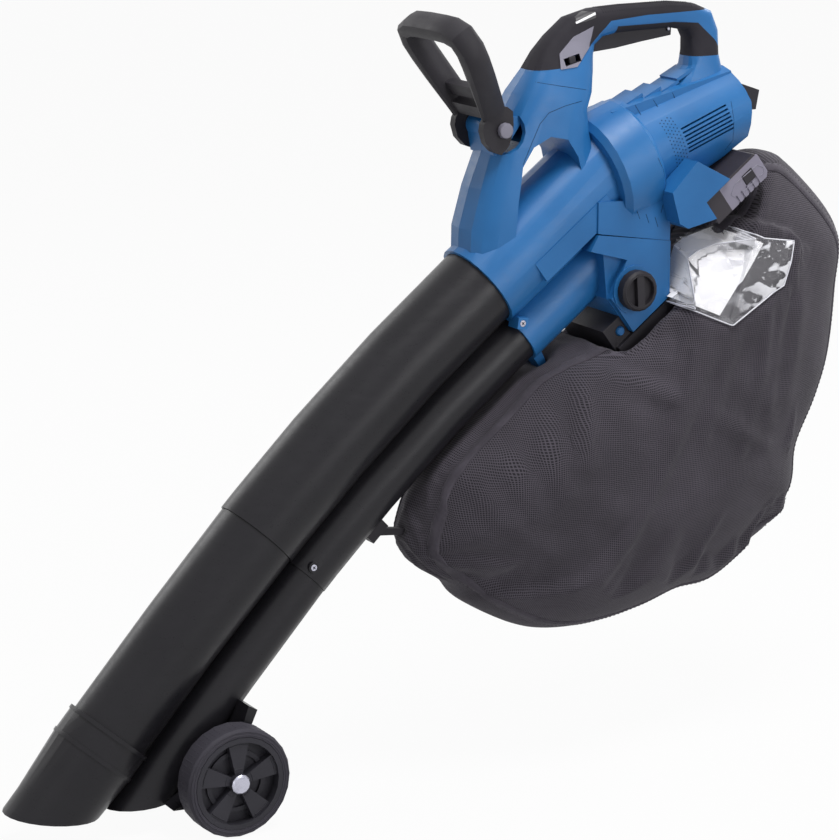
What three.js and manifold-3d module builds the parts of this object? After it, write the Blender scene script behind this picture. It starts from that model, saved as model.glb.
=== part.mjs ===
// A cordless walk behind leaf blower and vacuum, in millimetres, +Z up.
// -X is the front (the nozzle), +X the rear (handle and bag), -Y the machine's left side.
// The origin lies on the ground, under the wheel axle and midway between the wheels.
import * as THREE from 'three';
import { mergeVertices } from 'three/addons/utils/BufferGeometryUtils.js';
import Module from 'manifold-3d';

const wasm = await Module();
wasm.setup();

// Driving dimensions
const wheelRadius = 66;
const wheelWidth = 34;
const wheelTrack = 150; // between the two wheels' middle planes
const collarX = 373; // centre of the tube collar, measured from the wheel axle
const collarZ = 599;
const tubeSlope = 37; // degrees, at the collar
const upperTubeLength = 403;
const upperTubeBend = 8.8; // degrees from end to end
const lowerTubeLength = 284;
const lowerTubeBend = 2.6;
const suctionRadius = 52;
const lowerSuctionRadius = 50;
const blowRadius = 34;
const channelSpacing = 83; // between the axes of the suction and blow channels
const channelSpread = 4; // how far the blow channel moves away on the lower tube
const tubeWall = 2.6;
const ductRadius = 57;
const ductLength = 200; // from the collar to the fan's front
const motorSlope = 19.5; // degrees
const shellWall = 3.2;
const handleReach = 400; // from the collar's top to the rear face of the motor barrel
const handleRise = 285; // from the collar's top to the top of the grip
const handleHalfWidth = 46;
const packLength = 93;
const packWidth = 74;
const packHeight = 37;
const bagLength = 656;
const bagHeight = 600;
const bagHalfWidth = 122;

// Fits
const clearance = 0.3; // between pieces that seat on each other
const runningGap = 1; // between pieces that move past each other
const overrun = 30; // how far a cutting tool reaches past what it cuts

// Faceting
const largeSides = 24;
const mediumSides = 18;
const smallSides = 12;
const tinySides = 8;
const circle = 2 * Math.PI;
const degree = Math.PI / 180;

// Materials
function finish(color, roughness, metalness = 0) {
  return new THREE.MeshStandardMaterial({ color, roughness, metalness });
}
const blueShell = finish(0x2f6ea6, 0.45);
const blackTube = finish(0x2b2a2d, 0.4);
const blackPlastic = finish(0x353338, 0.6);
const softGrip = finish(0x2e2c30, 0.85);
const tyreRubber = finish(0x37363c, 0.8);
const wheelPlastic = finish(0x3b3a40, 0.55);
const brightSteel = finish(0xb5b5c4, 0.3, 0.9);
const packPlastic = finish(0x6b6974, 0.6);
const meshFabric = finish(0x3b383f, 0.95);
const clearFilm = finish(0xe8ecf2, 0.1);
const paperCard = finish(0xf2f1f4, 0.8);
const motorSteel = finish(0x8b8d92, 0.4, 0.8);
const circuitBoard = finish(0x1f6b3a, 0.6);
const fanPlastic = finish(0x1f1f22, 0.5);
const whiteLens = finish(0xf4f4f6, 0.25);

// Solids from closed geometries. Faces are turned outwards and shared vertices are merged.
function toSolid(geometry) {
  const bare = geometry.index ? geometry.toNonIndexed() : geometry.clone();
  const merged = mergeVertices(
    new THREE.BufferGeometry().setAttribute('position', bare.getAttribute('position')),
  );
  const triangles = [];
  for (let i = 0; i < merged.index.count; i += 3) {
    const corners = [0, 1, 2].map((k) => merged.index.getX(i + k));
    if (new Set(corners).size === corners.length) triangles.push(corners);
  }
  const make = (faces) => new wasm.Manifold(new wasm.Mesh({
    numProp: 3,
    vertProperties: new Float32Array(merged.attributes.position.array),
    triVerts: new Uint32Array(faces.flat()),
  }));
  const solid = make(triangles);
  return solid.volume() > 0 ? solid : make(triangles.map(([a, b, c]) => [a, c, b]));
}

function toGeometry(solid) {
  const mesh = solid.getMesh();
  const geometry = new THREE.BufferGeometry();
  geometry.setAttribute('position', new THREE.BufferAttribute(mesh.vertProperties, 3));
  geometry.setIndex(new THREE.BufferAttribute(mesh.triVerts, 1));
  geometry.computeVertexNormals();
  return geometry;
}

function join(...solids) {
  return solids.reduce((whole, next) => whole.add(next));
}

function cut(solid, ...tools) {
  return tools.reduce((left, tool) => left.subtract(tool), solid);
}

// Places in the side plane. A frame has an origin and a direction in degrees above +X.
function sideFrame([x, z], slope) {
  return { x, z, cos: Math.cos(slope * degree), sin: Math.sin(slope * degree) };
}

function at(frame, along, up) {
  return [
    frame.x + along * frame.cos - up * frame.sin,
    frame.z + along * frame.sin + up * frame.cos,
  ];
}

// A side-plane outline pulled straight across the machine, between two lateral places.
function prism(outline, yFrom, yTo) {
  const shape = new THREE.Shape(outline.map(([x, z]) => new THREE.Vector2(x, z)));
  const geometry = new THREE.ExtrudeGeometry(shape, { depth: yTo - yFrom, bevelEnabled: false });
  geometry.rotateX(circle / 4);
  geometry.translate(0, yTo, 0);
  return toSolid(geometry);
}

function framePrism(frame, outline, yFrom, yTo) {
  return prism(outline.map(([along, up]) => at(frame, along, up)), yFrom, yTo);
}

function frameBox(frame, [alongFrom, alongTo], [upFrom, upTo], [yFrom, yTo]) {
  const outline = [
    [alongFrom, upFrom], [alongTo, upFrom], [alongTo, upTo], [alongFrom, upTo],
  ];
  return framePrism(frame, outline, yFrom, yTo);
}

// A cylinder across the machine.
function crossBar([x, z], radius, yFrom, yTo, sides = smallSides) {
  const geometry = new THREE.CylinderGeometry(radius, radius, yTo - yFrom, sides);
  geometry.translate(x, (yFrom + yTo) / 2, z);
  return toSolid(geometry);
}

// A profile of [across, radius] pairs turned about a cross-machine axis.
function crossTurned([x, z], profile, sides) {
  const points = profile.map(([across, radius]) => new THREE.Vector2(radius, across));
  const geometry = new THREE.LatheGeometry(points, sides);
  geometry.translate(x, 0, z);
  return toSolid(geometry);
}

// A profile of [along, radius] pairs turned about the direction of a side-plane frame.
function turned(frame, profile, sides = largeSides) {
  const points = profile.map(([along, radius]) => new THREE.Vector2(radius, along));
  const geometry = new THREE.LatheGeometry(points, sides);
  const basis = new THREE.Matrix4().makeBasis(
    new THREE.Vector3(-frame.sin, 0, frame.cos),
    new THREE.Vector3(frame.cos, 0, frame.sin),
    new THREE.Vector3(0, 1, 0),
  );
  geometry.applyMatrix4(basis);
  geometry.translate(frame.x, 0, frame.z);
  return toSolid(geometry);
}

// A closed skin over rings that all have the same number of points.
function loft(rings) {
  const count = rings[0].length;
  const middle = (ring) => ring
    .reduce((sum, point) => sum.add(point), new THREE.Vector3())
    .divideScalar(count);
  const points = [...rings.flat(), middle(rings[0]), middle(rings[rings.length - 1])];
  const firstCap = rings.length * count;
  const lastRing = (rings.length - 1) * count;
  const faces = [];
  for (let j = 0; j < count; j += 1) {
    const next = (j + 1) % count;
    for (let i = 0; i < rings.length - 1; i += 1) {
      const low = i * count;
      const high = low + count;
      faces.push(low + j, low + next, high + next, low + j, high + next, high + j);
    }
    faces.push(firstCap, next, j, firstCap + 1, lastRing + j, lastRing + next);
  }
  const geometry = new THREE.BufferGeometry().setFromPoints(points);
  geometry.setIndex(faces);
  return toSolid(geometry);
}

// A rounded ring about a centre, from two half-size vectors; a higher power is squarer.
function roundedRing(centre, half, side, sides, power = 2) {
  const bulge = (value) => Math.sign(value) * Math.abs(value) ** (2 / power);
  return Array.from({ length: sides }, (_, j) => {
    const angle = (j * circle) / sides;
    return centre.clone()
      .addScaledVector(half, bulge(Math.cos(angle)))
      .addScaledVector(side, bulge(Math.sin(angle)));
  });
}

const lateral = new THREE.Vector3(0, 1, 0);

// The tube's centre line: a point and slope at a distance down from the collar.
function bent(start, degrees, length, distance) {
  const turn = (degrees * degree) / length;
  const slope = start.slope + turn * distance;
  if (Math.abs(turn) < Number.EPSILON) {
    return {
      x: start.x - distance * Math.cos(slope),
      z: start.z - distance * Math.sin(slope),
      slope,
    };
  }
  return {
    x: start.x - (Math.sin(slope) - Math.sin(start.slope)) / turn,
    z: start.z - (Math.cos(start.slope) - Math.cos(slope)) / turn,
    slope,
  };
}

function tubeStation(distance) {
  const collar = { x: collarX, z: collarZ, slope: tubeSlope * degree };
  if (distance < 0) return bent(collar, 0, upperTubeLength, distance);
  if (distance <= upperTubeLength) {
    return bent(collar, upperTubeBend, upperTubeLength, distance);
  }
  const joint = bent(collar, upperTubeBend, upperTubeLength, upperTubeLength);
  const lower = Math.min(distance - upperTubeLength, lowerTubeLength);
  const end = bent(joint, lowerTubeBend, lowerTubeLength, lower);
  return bent(end, 0, lowerTubeLength, distance - upperTubeLength - lower);
}

function blowDrop(distance) {
  const share = (distance - upperTubeLength) / lowerTubeLength;
  return channelSpacing + channelSpread * Math.min(Math.max(share, 0), 1);
}

// Where every piece that follows the tube's line has its corners, so that they nest.
const plugDepth = 26; // how far each tube plugs into the one above it
const jointStart = upperTubeLength - plugDepth;
const nozzleStart = upperTubeLength + lowerTubeLength;
const tubeKnots = [
  0, upperTubeLength / 3, (upperTubeLength * 2) / 3, jointStart,
  upperTubeLength, upperTubeLength + lowerTubeLength / 2, nozzleStart,
];

// A round bar that follows the tube's line between two distances, at a drop below it.
function alongTube(from, to, radiusAt, dropAt, sides, extraKnots = []) {
  const inside = [...tubeKnots, ...extraKnots].filter((knot) => knot > from && knot < to);
  const distances = [from, ...inside.sort((a, b) => a - b), to];
  const rings = distances.map((distance) => {
    const station = tubeStation(distance);
    const sin = Math.sin(station.slope);
    const cos = Math.cos(station.slope);
    const drop = dropAt(distance);
    const radius = radiusAt(distance);
    return roundedRing(
      new THREE.Vector3(station.x + drop * sin, 0, station.z - drop * cos),
      new THREE.Vector3(-sin, 0, cos).multiplyScalar(radius),
      lateral.clone().multiplyScalar(radius),
      sides,
    );
  });
  return loft(rings);
}
const noDrop = () => 0;
const constant = (value) => () => value;

// Shared frames
const tubeFrame = sideFrame([collarX, collarZ], tubeSlope);
const motorFrame = sideFrame(at(tubeFrame, ductLength, 0), motorSlope);
const collarTop = at(tubeFrame, 0, ductRadius);

function handlePoint([alongShare, upShare]) {
  return [collarTop[0] + alongShare * handleReach, collarTop[1] + upShare * handleRise];
}

const group = new THREE.Group();
function addNode(name, solid, material) {
  const mesh = new THREE.Mesh(toGeometry(solid), material);
  mesh.name = name;
  group.add(mesh);
}

// Both halves of a piece that is split at the middle plane, leaving the joint's gap.
function halves(solid) {
  const reach = 3000;
  const outline = [[-reach, -reach], [reach, -reach], [reach, reach], [-reach, reach]];
  return {
    left: cut(solid, prism(outline, -clearance / 2, reach)),
    right: cut(solid, prism(outline, -reach, clearance / 2)),
  };
}

// Screws: head and shank, set into a bored seat on one side of the machine
const screwHeadRadius = 4;
const screwHeadHeight = 2.4;
const screwShankRadius = 1.9;
const screwLength = 14;

function screw([x, z], side, face, length = screwLength) {
  const inner = face - screwHeadHeight;
  return crossTurned([x, z], [
    [inner - length, 0], [inner - length, screwShankRadius],
    [inner, screwShankRadius], [inner, screwHeadRadius], [face, screwHeadRadius], [face, 0],
  ].map(([across, radius]) => [across * side, radius]), smallSides);
}

function screwSeat([x, z], side, face, length = screwLength) {
  const inner = face - screwHeadHeight - clearance;
  const end = inner - length;
  const mouth = face + overrun;
  const head = [side * inner, side * mouth];
  const shank = [side * end, side * mouth];
  return join(
    crossBar([x, z], screwHeadRadius + clearance, Math.min(...head), Math.max(...head),
      smallSides),
    crossBar([x, z], screwShankRadius + clearance, Math.min(...shank), Math.max(...shank),
      smallSides),
  );
}

// Tubes
const tubeScrewInset = 12; // from the upper tube's end
const tubeScrewShare = 0.35; // how far towards the suction channel, as a share of the radius
const tubeScrewFace = 33;
const tubeScrewLength = 4;
const tubeScrewBossRadius = 7;

function tubeScrewPlace() {
  const station = tubeStation(upperTubeLength - tubeScrewInset);
  const drop = channelSpacing - blowRadius * tubeScrewShare;
  return [
    station.x + drop * Math.sin(station.slope),
    station.z - drop * Math.cos(station.slope),
  ];
}

function upperTube() {
  const suction = alongTube(-plugDepth, upperTubeLength, constant(suctionRadius), noDrop,
    largeSides);
  const blow = alongTube(-plugDepth, upperTubeLength, constant(blowRadius), blowDrop,
    mediumSides);
  const boss = crossBar(tubeScrewPlace(), tubeScrewBossRadius, -tubeScrewFace, tubeScrewFace,
    smallSides);
  const reach = plugDepth + overrun;
  const bore = alongTube(-reach, upperTubeLength + overrun,
    constant(suctionRadius - tubeWall), noDrop, largeSides);
  const blowBore = alongTube(-reach, upperTubeLength + overrun,
    constant(blowRadius - tubeWall), blowDrop, mediumSides);
  return cut(join(suction, blow, boss), bore, blowBore);
}

const lowerBlowRadius = 33;
const webDepth = 14;
const blowMouthHeight = 32;
const nozzleInsert = 34; // how far the suction channel goes into the nozzle sleeve
const blowMouthReach = 190; // how far the blow channel runs under the nozzle
const lowerChannelEnd = nozzleStart + nozzleInsert;
const blowChannelEnd = nozzleStart + blowMouthReach;
const plugRadius = suctionRadius - tubeWall - clearance;
const blowPlugRadius = blowRadius - tubeWall - clearance;
const nozzleSeatRadius = 48.6; // the suction channel's end, under the nozzle sleeve

function lowerSuctionAt(distance) {
  const share = (distance - upperTubeLength) / lowerTubeLength;
  const taper = lowerSuctionRadius - nozzleSeatRadius;
  return lowerSuctionRadius - taper * Math.min(Math.max(share, 0), 1);
}

// Wheel bracket on the blow channel's back
const bracketHalfWidth = 57;
const axleRadius = 5;
const axleBossRadius = 13;
const bracketWall = 5;
const bracketShares = [
  [0.45, 2.2], [0.0, 0.97], [-1.05, 0.52], [-0.72, 0.5], [-0.2, 0.78],
  [0.2, 0.86], [0.19, 1.18], [0.4, 1.62], [0.62, 2.1],
];
const bracketPocketShares = [
  [0.35, 1.8], [0.08, 1.12], [-0.2, 0.86], [-0.05, 0.6], [0.6, 0.9], [0.9, 1.6],
];

function lowerTube() {
  const start = upperTubeLength + clearance;
  const spigot = alongTube(jointStart, start + tubeWall, constant(plugRadius), noDrop,
    largeSides);
  const blowSpigot = alongTube(jointStart, start + tubeWall, constant(blowPlugRadius),
    blowDrop, mediumSides);
  const suction = alongTube(start, lowerChannelEnd, lowerSuctionAt, noDrop,
    largeSides);
  const blow = alongTube(start, blowChannelEnd, constant(lowerBlowRadius), blowDrop,
    mediumSides);
  const bore = alongTube(jointStart - overrun, lowerChannelEnd + overrun,
    (distance) => Math.min(lowerSuctionAt(distance), plugRadius) - tubeWall,
    noDrop, largeSides);
  const blowBore = alongTube(jointStart - overrun, blowChannelEnd + overrun,
    constant(blowPlugRadius - tubeWall), blowDrop, mediumSides);
  const webDrop = (distance) => lowerSuctionAt(distance) + webDepth / 4;
  const web = alongTube(start, nozzleStart - plugDepth, constant(webDepth / 2), webDrop,
    tinySides);
  const wheelPlace = ([alongShare, upShare]) => [alongShare * wheelRadius, upShare * wheelRadius];
  const bracket = prism(bracketShares.map(wheelPlace), -bracketHalfWidth, bracketHalfWidth);
  const boss = crossBar([0, wheelRadius], axleBossRadius, -bracketHalfWidth, bracketHalfWidth);
  const pocketOutline = bracketPocketShares.map(wheelPlace);
  const pocketInner = bracketWall / 2;
  const pocketOuter = bracketHalfWidth - bracketWall;
  const pockets = [
    prism(pocketOutline, pocketInner, pocketOuter),
    prism(pocketOutline, -pocketOuter, -pocketInner),
  ];
  const axleHole = crossBar([0, wheelRadius], axleRadius + clearance,
    -bracketHalfWidth - overrun, bracketHalfWidth + overrun);
  const mouthCut = frameBox(sideFrame([0, 0], 0), [-wheelRadius * 6, wheelRadius * 6],
    [-wheelRadius * 6, blowMouthHeight], [-blowRadius * 1.2, blowRadius * 1.2]);
  const carrier = cut(join(cut(bracket, ...pockets), boss), axleHole);
  const body = join(spigot, blowSpigot, suction, cut(blow, mouthCut), web, carrier);
  return cut(body, bore, blowBore);
}

// Nozzle sleeve
const nozzleRadius = 52.5;
const nozzleMouthRadius = 47.5;
const nozzleLipRadius = 54;
const nozzleLipWidth = 5;
const nozzleSleeveLength = 36;
const nozzleLength = 190;
const mouthHeight = 38; // of the mouth's middle above the ground
const mouthSlope = -9; // degrees

function suctionNozzle() {
  const seatEnd = nozzleStart + nozzleSleeveLength;
  const end = nozzleStart + nozzleLength;
  const nozzleMiddle = (seatEnd + end) / 2;
  const outerAt = (distance) => {
    const share = Math.max(distance - seatEnd, 0) / (end - seatEnd);
    return nozzleRadius - (nozzleRadius - nozzleMouthRadius) * Math.min(share * 2, 1);
  };
  const innerRadius = nozzleSeatRadius + clearance;
  const sleeve = join(
    alongTube(nozzleStart, seatEnd, constant(nozzleRadius), noDrop, largeSides),
    alongTube(seatEnd - clearance, end, outerAt, noDrop, largeSides, [nozzleMiddle]),
    alongTube(nozzleStart, nozzleStart + nozzleLipWidth, constant(nozzleLipRadius), noDrop,
      largeSides),
    alongTube(seatEnd - nozzleLipWidth, seatEnd, constant(nozzleLipRadius - clearance), noDrop,
      largeSides),
  );
  const seat = alongTube(nozzleStart - overrun, seatEnd - clearance, constant(innerRadius),
    noDrop, largeSides);
  const channel = alongTube(seatEnd - nozzleLipWidth, end + overrun,
    (distance) => outerAt(distance) - tubeWall - tubeWall, noDrop, largeSides, [nozzleMiddle]);
  const mouth = tubeStation(nozzleStart);
  const reach = (mouth.z - mouthHeight) / Math.tan(mouth.slope);
  const mouthFrame = sideFrame([mouth.x - reach, mouthHeight], mouthSlope);
  const mouthCut = frameBox(mouthFrame, [-nozzleLength, nozzleLength], [-nozzleLength, 0],
    [-nozzleLength, nozzleLength]);
  const blowRoom = alongTube(nozzleStart - overrun, end + overrun,
    constant(lowerBlowRadius + clearance), blowDrop, mediumSides);
  return cut(sleeve, seat, channel, mouthCut, blowRoom);
}

const tubeScrewCuts = [-1, 1].map((side) => screwSeat(tubeScrewPlace(), side, tubeScrewFace,
  tubeScrewLength));
addNode('tube_upper', cut(upperTube(), ...tubeScrewCuts), blackTube);
addNode('tube_lower', cut(lowerTube(), ...tubeScrewCuts), blackTube);
addNode('suction_nozzle', suctionNozzle(), blackTube);
for (const [name, side] of [['left', -1], ['right', 1]]) {
  addNode(`tube_screw_${name}`, screw(tubeScrewPlace(), side, tubeScrewFace, tubeScrewLength),
    brightSteel);
}

// Wheels
const tyreDepth = 10;
const hubFaceInset = 3;
const hubWebHalf = 3;
const hubBossRadius = 12;
const rimDepth = 6;
const hubRingShares = [0.58, 0.68]; // the web's raised ring
const spokeCount = 5;
const spokeHalfAngle = 9; // degrees, at the hub
const spokeFlare = 15; // degrees, at the rim
const axleCapRadius = 12;
const axleCapThickness = 4;
const wheelEnd = (wheelTrack + wheelWidth) / 2;
const axleCentre = [0, wheelRadius];

function tyre(side) {
  const rim = wheelRadius - tyreDepth + clearance;
  const half = wheelWidth / 2;
  const shoulder = tyreDepth / 3;
  const middle = (side * wheelTrack) / 2;
  const profile = [
    [-half, rim], [half, rim], [half, wheelRadius - shoulder], [half - shoulder, wheelRadius],
    [-half + shoulder, wheelRadius], [-half, wheelRadius - shoulder], [-half, rim],
  ].map(([across, radius]) => [across + middle, radius]);
  return crossTurned(axleCentre, profile, largeSides);
}

function wheelHub(side) {
  const rim = wheelRadius - tyreDepth;
  const half = wheelWidth / 2;
  const face = half - hubFaceInset;
  const middle = (side * wheelTrack) / 2;
  const ridge = hubWebHalf * 2;
  const profile = [
    [-half, 0], [-half, hubBossRadius], [-hubWebHalf, hubBossRadius],
    [-hubWebHalf, rim - rimDepth], [-half, rim - rimDepth], [-half, rim],
    [half, rim], [half, rim - rimDepth], [hubWebHalf, rim - rimDepth],
    [hubWebHalf, rim * hubRingShares[1]], [ridge, rim * hubRingShares[1]],
    [ridge, rim * hubRingShares[0]], [hubWebHalf, rim * hubRingShares[0]],
    [hubWebHalf, hubBossRadius], [half, hubBossRadius], [half, 0],
  ].map(([across, radius]) => [across * side + middle, radius]);
  const body = crossTurned(axleCentre, profile, largeSides);
  const spokes = Array.from({ length: spokeCount }, (_, i) => {
    const turn = (i * circle) / spokeCount + circle / 4;
    const corner = (radius, angle) => [
      axleCentre[0] + radius * Math.cos(turn + angle * degree),
      axleCentre[1] + radius * Math.sin(turn + angle * degree),
    ];
    const inner = hubBossRadius / 2;
    const outer = rim - rimDepth / 2;
    const outline = [
      corner(inner, -spokeHalfAngle * 4), corner(outer, -spokeFlare),
      corner(outer, spokeFlare), corner(inner, spokeHalfAngle * 4),
    ];
    return prism(outline, middle - face, middle + face);
  });
  const hole = crossBar(axleCentre, axleRadius + clearance,
    middle - wheelWidth, middle + wheelWidth);
  return cut(join(body, ...spokes), hole);
}

function axleCap(side) {
  const inner = wheelEnd + clearance;
  const cap = crossTurned(axleCentre, [
    [inner, 0], [inner, axleCapRadius], [inner + axleCapThickness / 2, axleCapRadius],
    [inner + axleCapThickness, axleCapRadius - axleCapThickness / 2],
    [inner + axleCapThickness, 0],
  ].map(([across, radius]) => [across * side, radius]), smallSides);
  const yEnds = [side * (inner - overrun), side * (inner + axleCapThickness / 2)];
  const pocket = crossBar(axleCentre, axleRadius + clearance,
    Math.min(...yEnds), Math.max(...yEnds));
  return cut(cap, pocket);
}

const axleEnd = wheelEnd + axleCapThickness / 2;
addNode('wheel_axle', crossBar(axleCentre, axleRadius, -axleEnd, axleEnd), brightSteel);
for (const [name, side] of [['left', -1], ['right', 1]]) {
  addNode(`wheel_hub_${name}`, wheelHub(side), wheelPlastic);
  addNode(`wheel_tyre_${name}`, tyre(side), tyreRubber);
  addNode(`axle_cap_${name}`, axleCap(side), brightSteel);
}

// Main housing: inlet duct, fan volute, motor barrel and handle loop
const voluteRadius = 76;
const voluteLength = 62;
const voluteChamfer = 7;
const barrelFrontRadius = 64;
const barrelRearRadius = 55;
const barrelFloor = -88; // the flat underside, measured up from the tube's axis
const rearFaceInset = 7; // from the handle's full reach back to the rear face
const barrelOverlap = 4; // past the rear face, at the motor's axis
const ridgeHalfWidth = 27;
const ridgeFront = 38; // along the motor's axis, under the volute's rim
const ridgePitch = 26;
const ridgeFrontTop = 76;
const ridgeRearTop = 56;
const ridgeStepRise = 4;
const ridgeCrown = 1.5;

// The handle loop as [outer along, outer up, inner along, inner up, half width] shares.
const handleShares = [
  [0.016, -0.058, 0.433, 0.160, 0.957],
  [0.018, 0.096, 0.500, 0.268, 1.000],
  [0.053, 0.265, 0.472, 0.360, 0.978],
  [0.098, 0.423, 0.447, 0.470, 0.935],
  [0.158, 0.546, 0.438, 0.567, 0.891],
  [0.201, 0.647, 0.456, 0.637, 0.826],
  [0.246, 0.732, 0.466, 0.721, 0.652],
  [0.278, 0.809, 0.471, 0.784, 0.500],
  [0.318, 0.872, 0.478, 0.826, 0.413],
  [0.383, 0.946, 0.508, 0.858, 0.380],
  [0.471, 0.977, 0.558, 0.868, 0.370],
  [0.578, 0.984, 0.628, 0.872, 0.370],
  [0.753, 0.986, 0.753, 0.875, 0.370],
  [0.841, 0.974, 0.808, 0.861, 0.370],
  [0.903, 0.939, 0.821, 0.819, 0.370],
  [0.928, 0.861, 0.821, 0.763, 0.391],
  [0.931, 0.756, 0.816, 0.707, 0.435],
  [0.953, 0.644, 0.783, 0.661, 0.522],
  [0.973, 0.546, 0.716, 0.574, 0.565],
];
const archShares = [
  [0.148, 0.037], [0.158, 0.195], [0.176, 0.353], [0.213, 0.433], [0.273, 0.472],
  [0.333, 0.454], [0.371, 0.377], [0.391, 0.272], [0.403, 0.160], [0.328, 0.054],
  [0.228, -0.016],
];
const handleSquareness = 3.2;

function handleLoop(inset, sides = mediumSides) {
  const rings = handleShares.map(([outerAlong, outerUp, innerAlong, innerUp, width]) => {
    const [ox, oz] = handlePoint([outerAlong, outerUp]);
    const [ix, iz] = handlePoint([innerAlong, innerUp]);
    const half = new THREE.Vector3((ox - ix) / 2, 0, (oz - iz) / 2);
    const length = half.length();
    half.setLength(length - inset);
    return roundedRing(
      new THREE.Vector3((ox + ix) / 2, 0, (oz + iz) / 2),
      half,
      lateral.clone().multiplyScalar(width * handleHalfWidth - inset),
      sides,
      handleSquareness,
    );
  });
  return loft(rings);
}

const ductOverlap = 25; // how far the duct runs on into the volute

function duct(grow) {
  const radius = ductRadius + grow;
  const end = ductLength + ductOverlap;
  return turned(tubeFrame, [[0, 0], [0, radius], [end, radius], [end, 0]]);
}

function volute(grow) {
  const radius = voluteRadius + grow;
  const shoulder = radius - voluteChamfer;
  return turned(motorFrame, [
    [-grow, 0], [-grow, shoulder], [voluteChamfer, radius],
    [voluteLength - voluteChamfer, radius], [voluteLength + grow, shoulder],
    [voluteLength + grow, 0],
  ]);
}

const rearFaceX = collarTop[0] + handleReach - rearFaceInset;
const barrelLength = (rearFaceX - motorFrame.x) / motorFrame.cos + barrelOverlap;

function barrel(grow) {
  const body = turned(motorFrame, [
    [voluteLength / 2, 0], [voluteLength / 2, barrelFrontRadius + grow],
    [barrelLength, barrelRearRadius + grow], [barrelLength, 0],
  ]);
  const ridge = motorRidge(grow);
  const behind = frameBox(sideFrame([rearFaceX + grow, 0], 0), [0, barrelLength],
    [0, barrelLength * 6], [-barrelLength, barrelLength]);
  const below = frameBox(tubeFrame, [ductLength, ductLength + barrelLength * 2],
    [barrelFloor - barrelLength, barrelFloor - grow], [-barrelLength, barrelLength]);
  return cut(join(body, ridge), behind, below);
}

// The stepped ridge along the top of the barrel, under the grip.
function motorRidge(grow) {
  const length = barrelLength - ridgeFront;
  const topAt = (along) => ridgeFrontTop + grow
    - ((ridgeFrontTop - ridgeRearTop) * (along - ridgeFront)) / length;
  const top = [];
  for (let along = ridgeFront; along < barrelLength; along += ridgePitch) {
    const end = Math.min(along + ridgePitch, barrelLength);
    top.push([along, topAt(along) - ridgeStepRise], [end, topAt(end)]);
  }
  const outline = [[ridgeFront, 0], ...top, [barrelLength, 0]];
  const plate = framePrism(motorFrame, outline, -ridgeHalfWidth - grow, ridgeHalfWidth + grow);
  const crown = turned(motorFrame, [
    [0, 0], [0, topAt(0) + ridgeCrown], [barrelLength + overrun,
      topAt(barrelLength + overrun) + ridgeCrown], [barrelLength + overrun, 0],
  ], mediumSides);
  return plate.intersect(crown);
}

const apronHalfWidth = 60;
const seamFront = [142, -31]; // the seam to the outlet housing, on the tube's axis frame
const seamRear = [215, -108];

const bailPivotPlace = [125, 146]; // on the tube's axis frame
const bailBossRadius = 14;
const bailPlateRadius = 29;
const bailPlateInner = 27;
const bailPlateOuter = 38;
const bailBossHalf = bailPlateInner - clearance;

const bailPivot = at(tubeFrame, ...bailPivotPlace);

function housingOuter(grow) {
  const [px, pz] = bailPivot;
  const bossNeck = prism([
    [px - bailBossRadius * 0.8, pz - bailBossRadius * 0.55],
    [px - bailBossRadius * 0.2, pz + bailBossRadius * 0.9],
    [px + bailBossRadius * 2.6, pz + bailBossRadius],
    [px + bailBossRadius * 2, pz - bailBossRadius * 2.8],
    [px - bailBossRadius * 0.5, pz - bailBossRadius * 2.2],
  ], -bailBossHalf - grow, bailBossHalf + grow);
  const boss = crossBar(bailPivot, bailBossRadius + grow, -bailBossHalf - grow,
    bailBossHalf + grow, mediumSides);
  const arch = prism(archShares.map(handlePoint), -handleHalfWidth * 2, handleHalfWidth * 2);
  const room = bailPlateRadius + runningGap - grow;
  const plateRooms = [
    crossBar(bailPivot, room, bailBossHalf + grow, handleHalfWidth * 2, mediumSides),
    crossBar(bailPivot, room, -handleHalfWidth * 2, -bailBossHalf - grow, mediumSides),
  ];
  const handle = cut(handleLoop(-grow), arch, ...plateRooms);
  const [fx, fz] = at(tubeFrame, ...seamFront);
  const [rx, rz] = at(tubeFrame, ...seamRear);
  const apron = prism([
    [fx - grow, fz - grow], [rx + grow, rz - grow],
    [rx + grow, rz + voluteRadius * 0.7], [fx - grow, fz + voluteRadius * 0.5],
  ], -apronHalfWidth - grow, apronHalfWidth + grow);
  return join(handle, duct(grow), volute(grow), barrel(grow), boss, bossNeck, apron);
}

// The hollow inside: duct bore, fan chamber, outlet throat and motor bay.
const fanChamberRadius = voluteRadius - shellWall - 1.5;
const fanChamberFront = shellWall + 1;
const fanChamberRear = voluteLength - 6;
const motorBayRadius = 46;
const motorBayEnd = 184;
const throatHalfWidth = 48;
const throatShares = [-0.1, 0.62];

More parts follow.
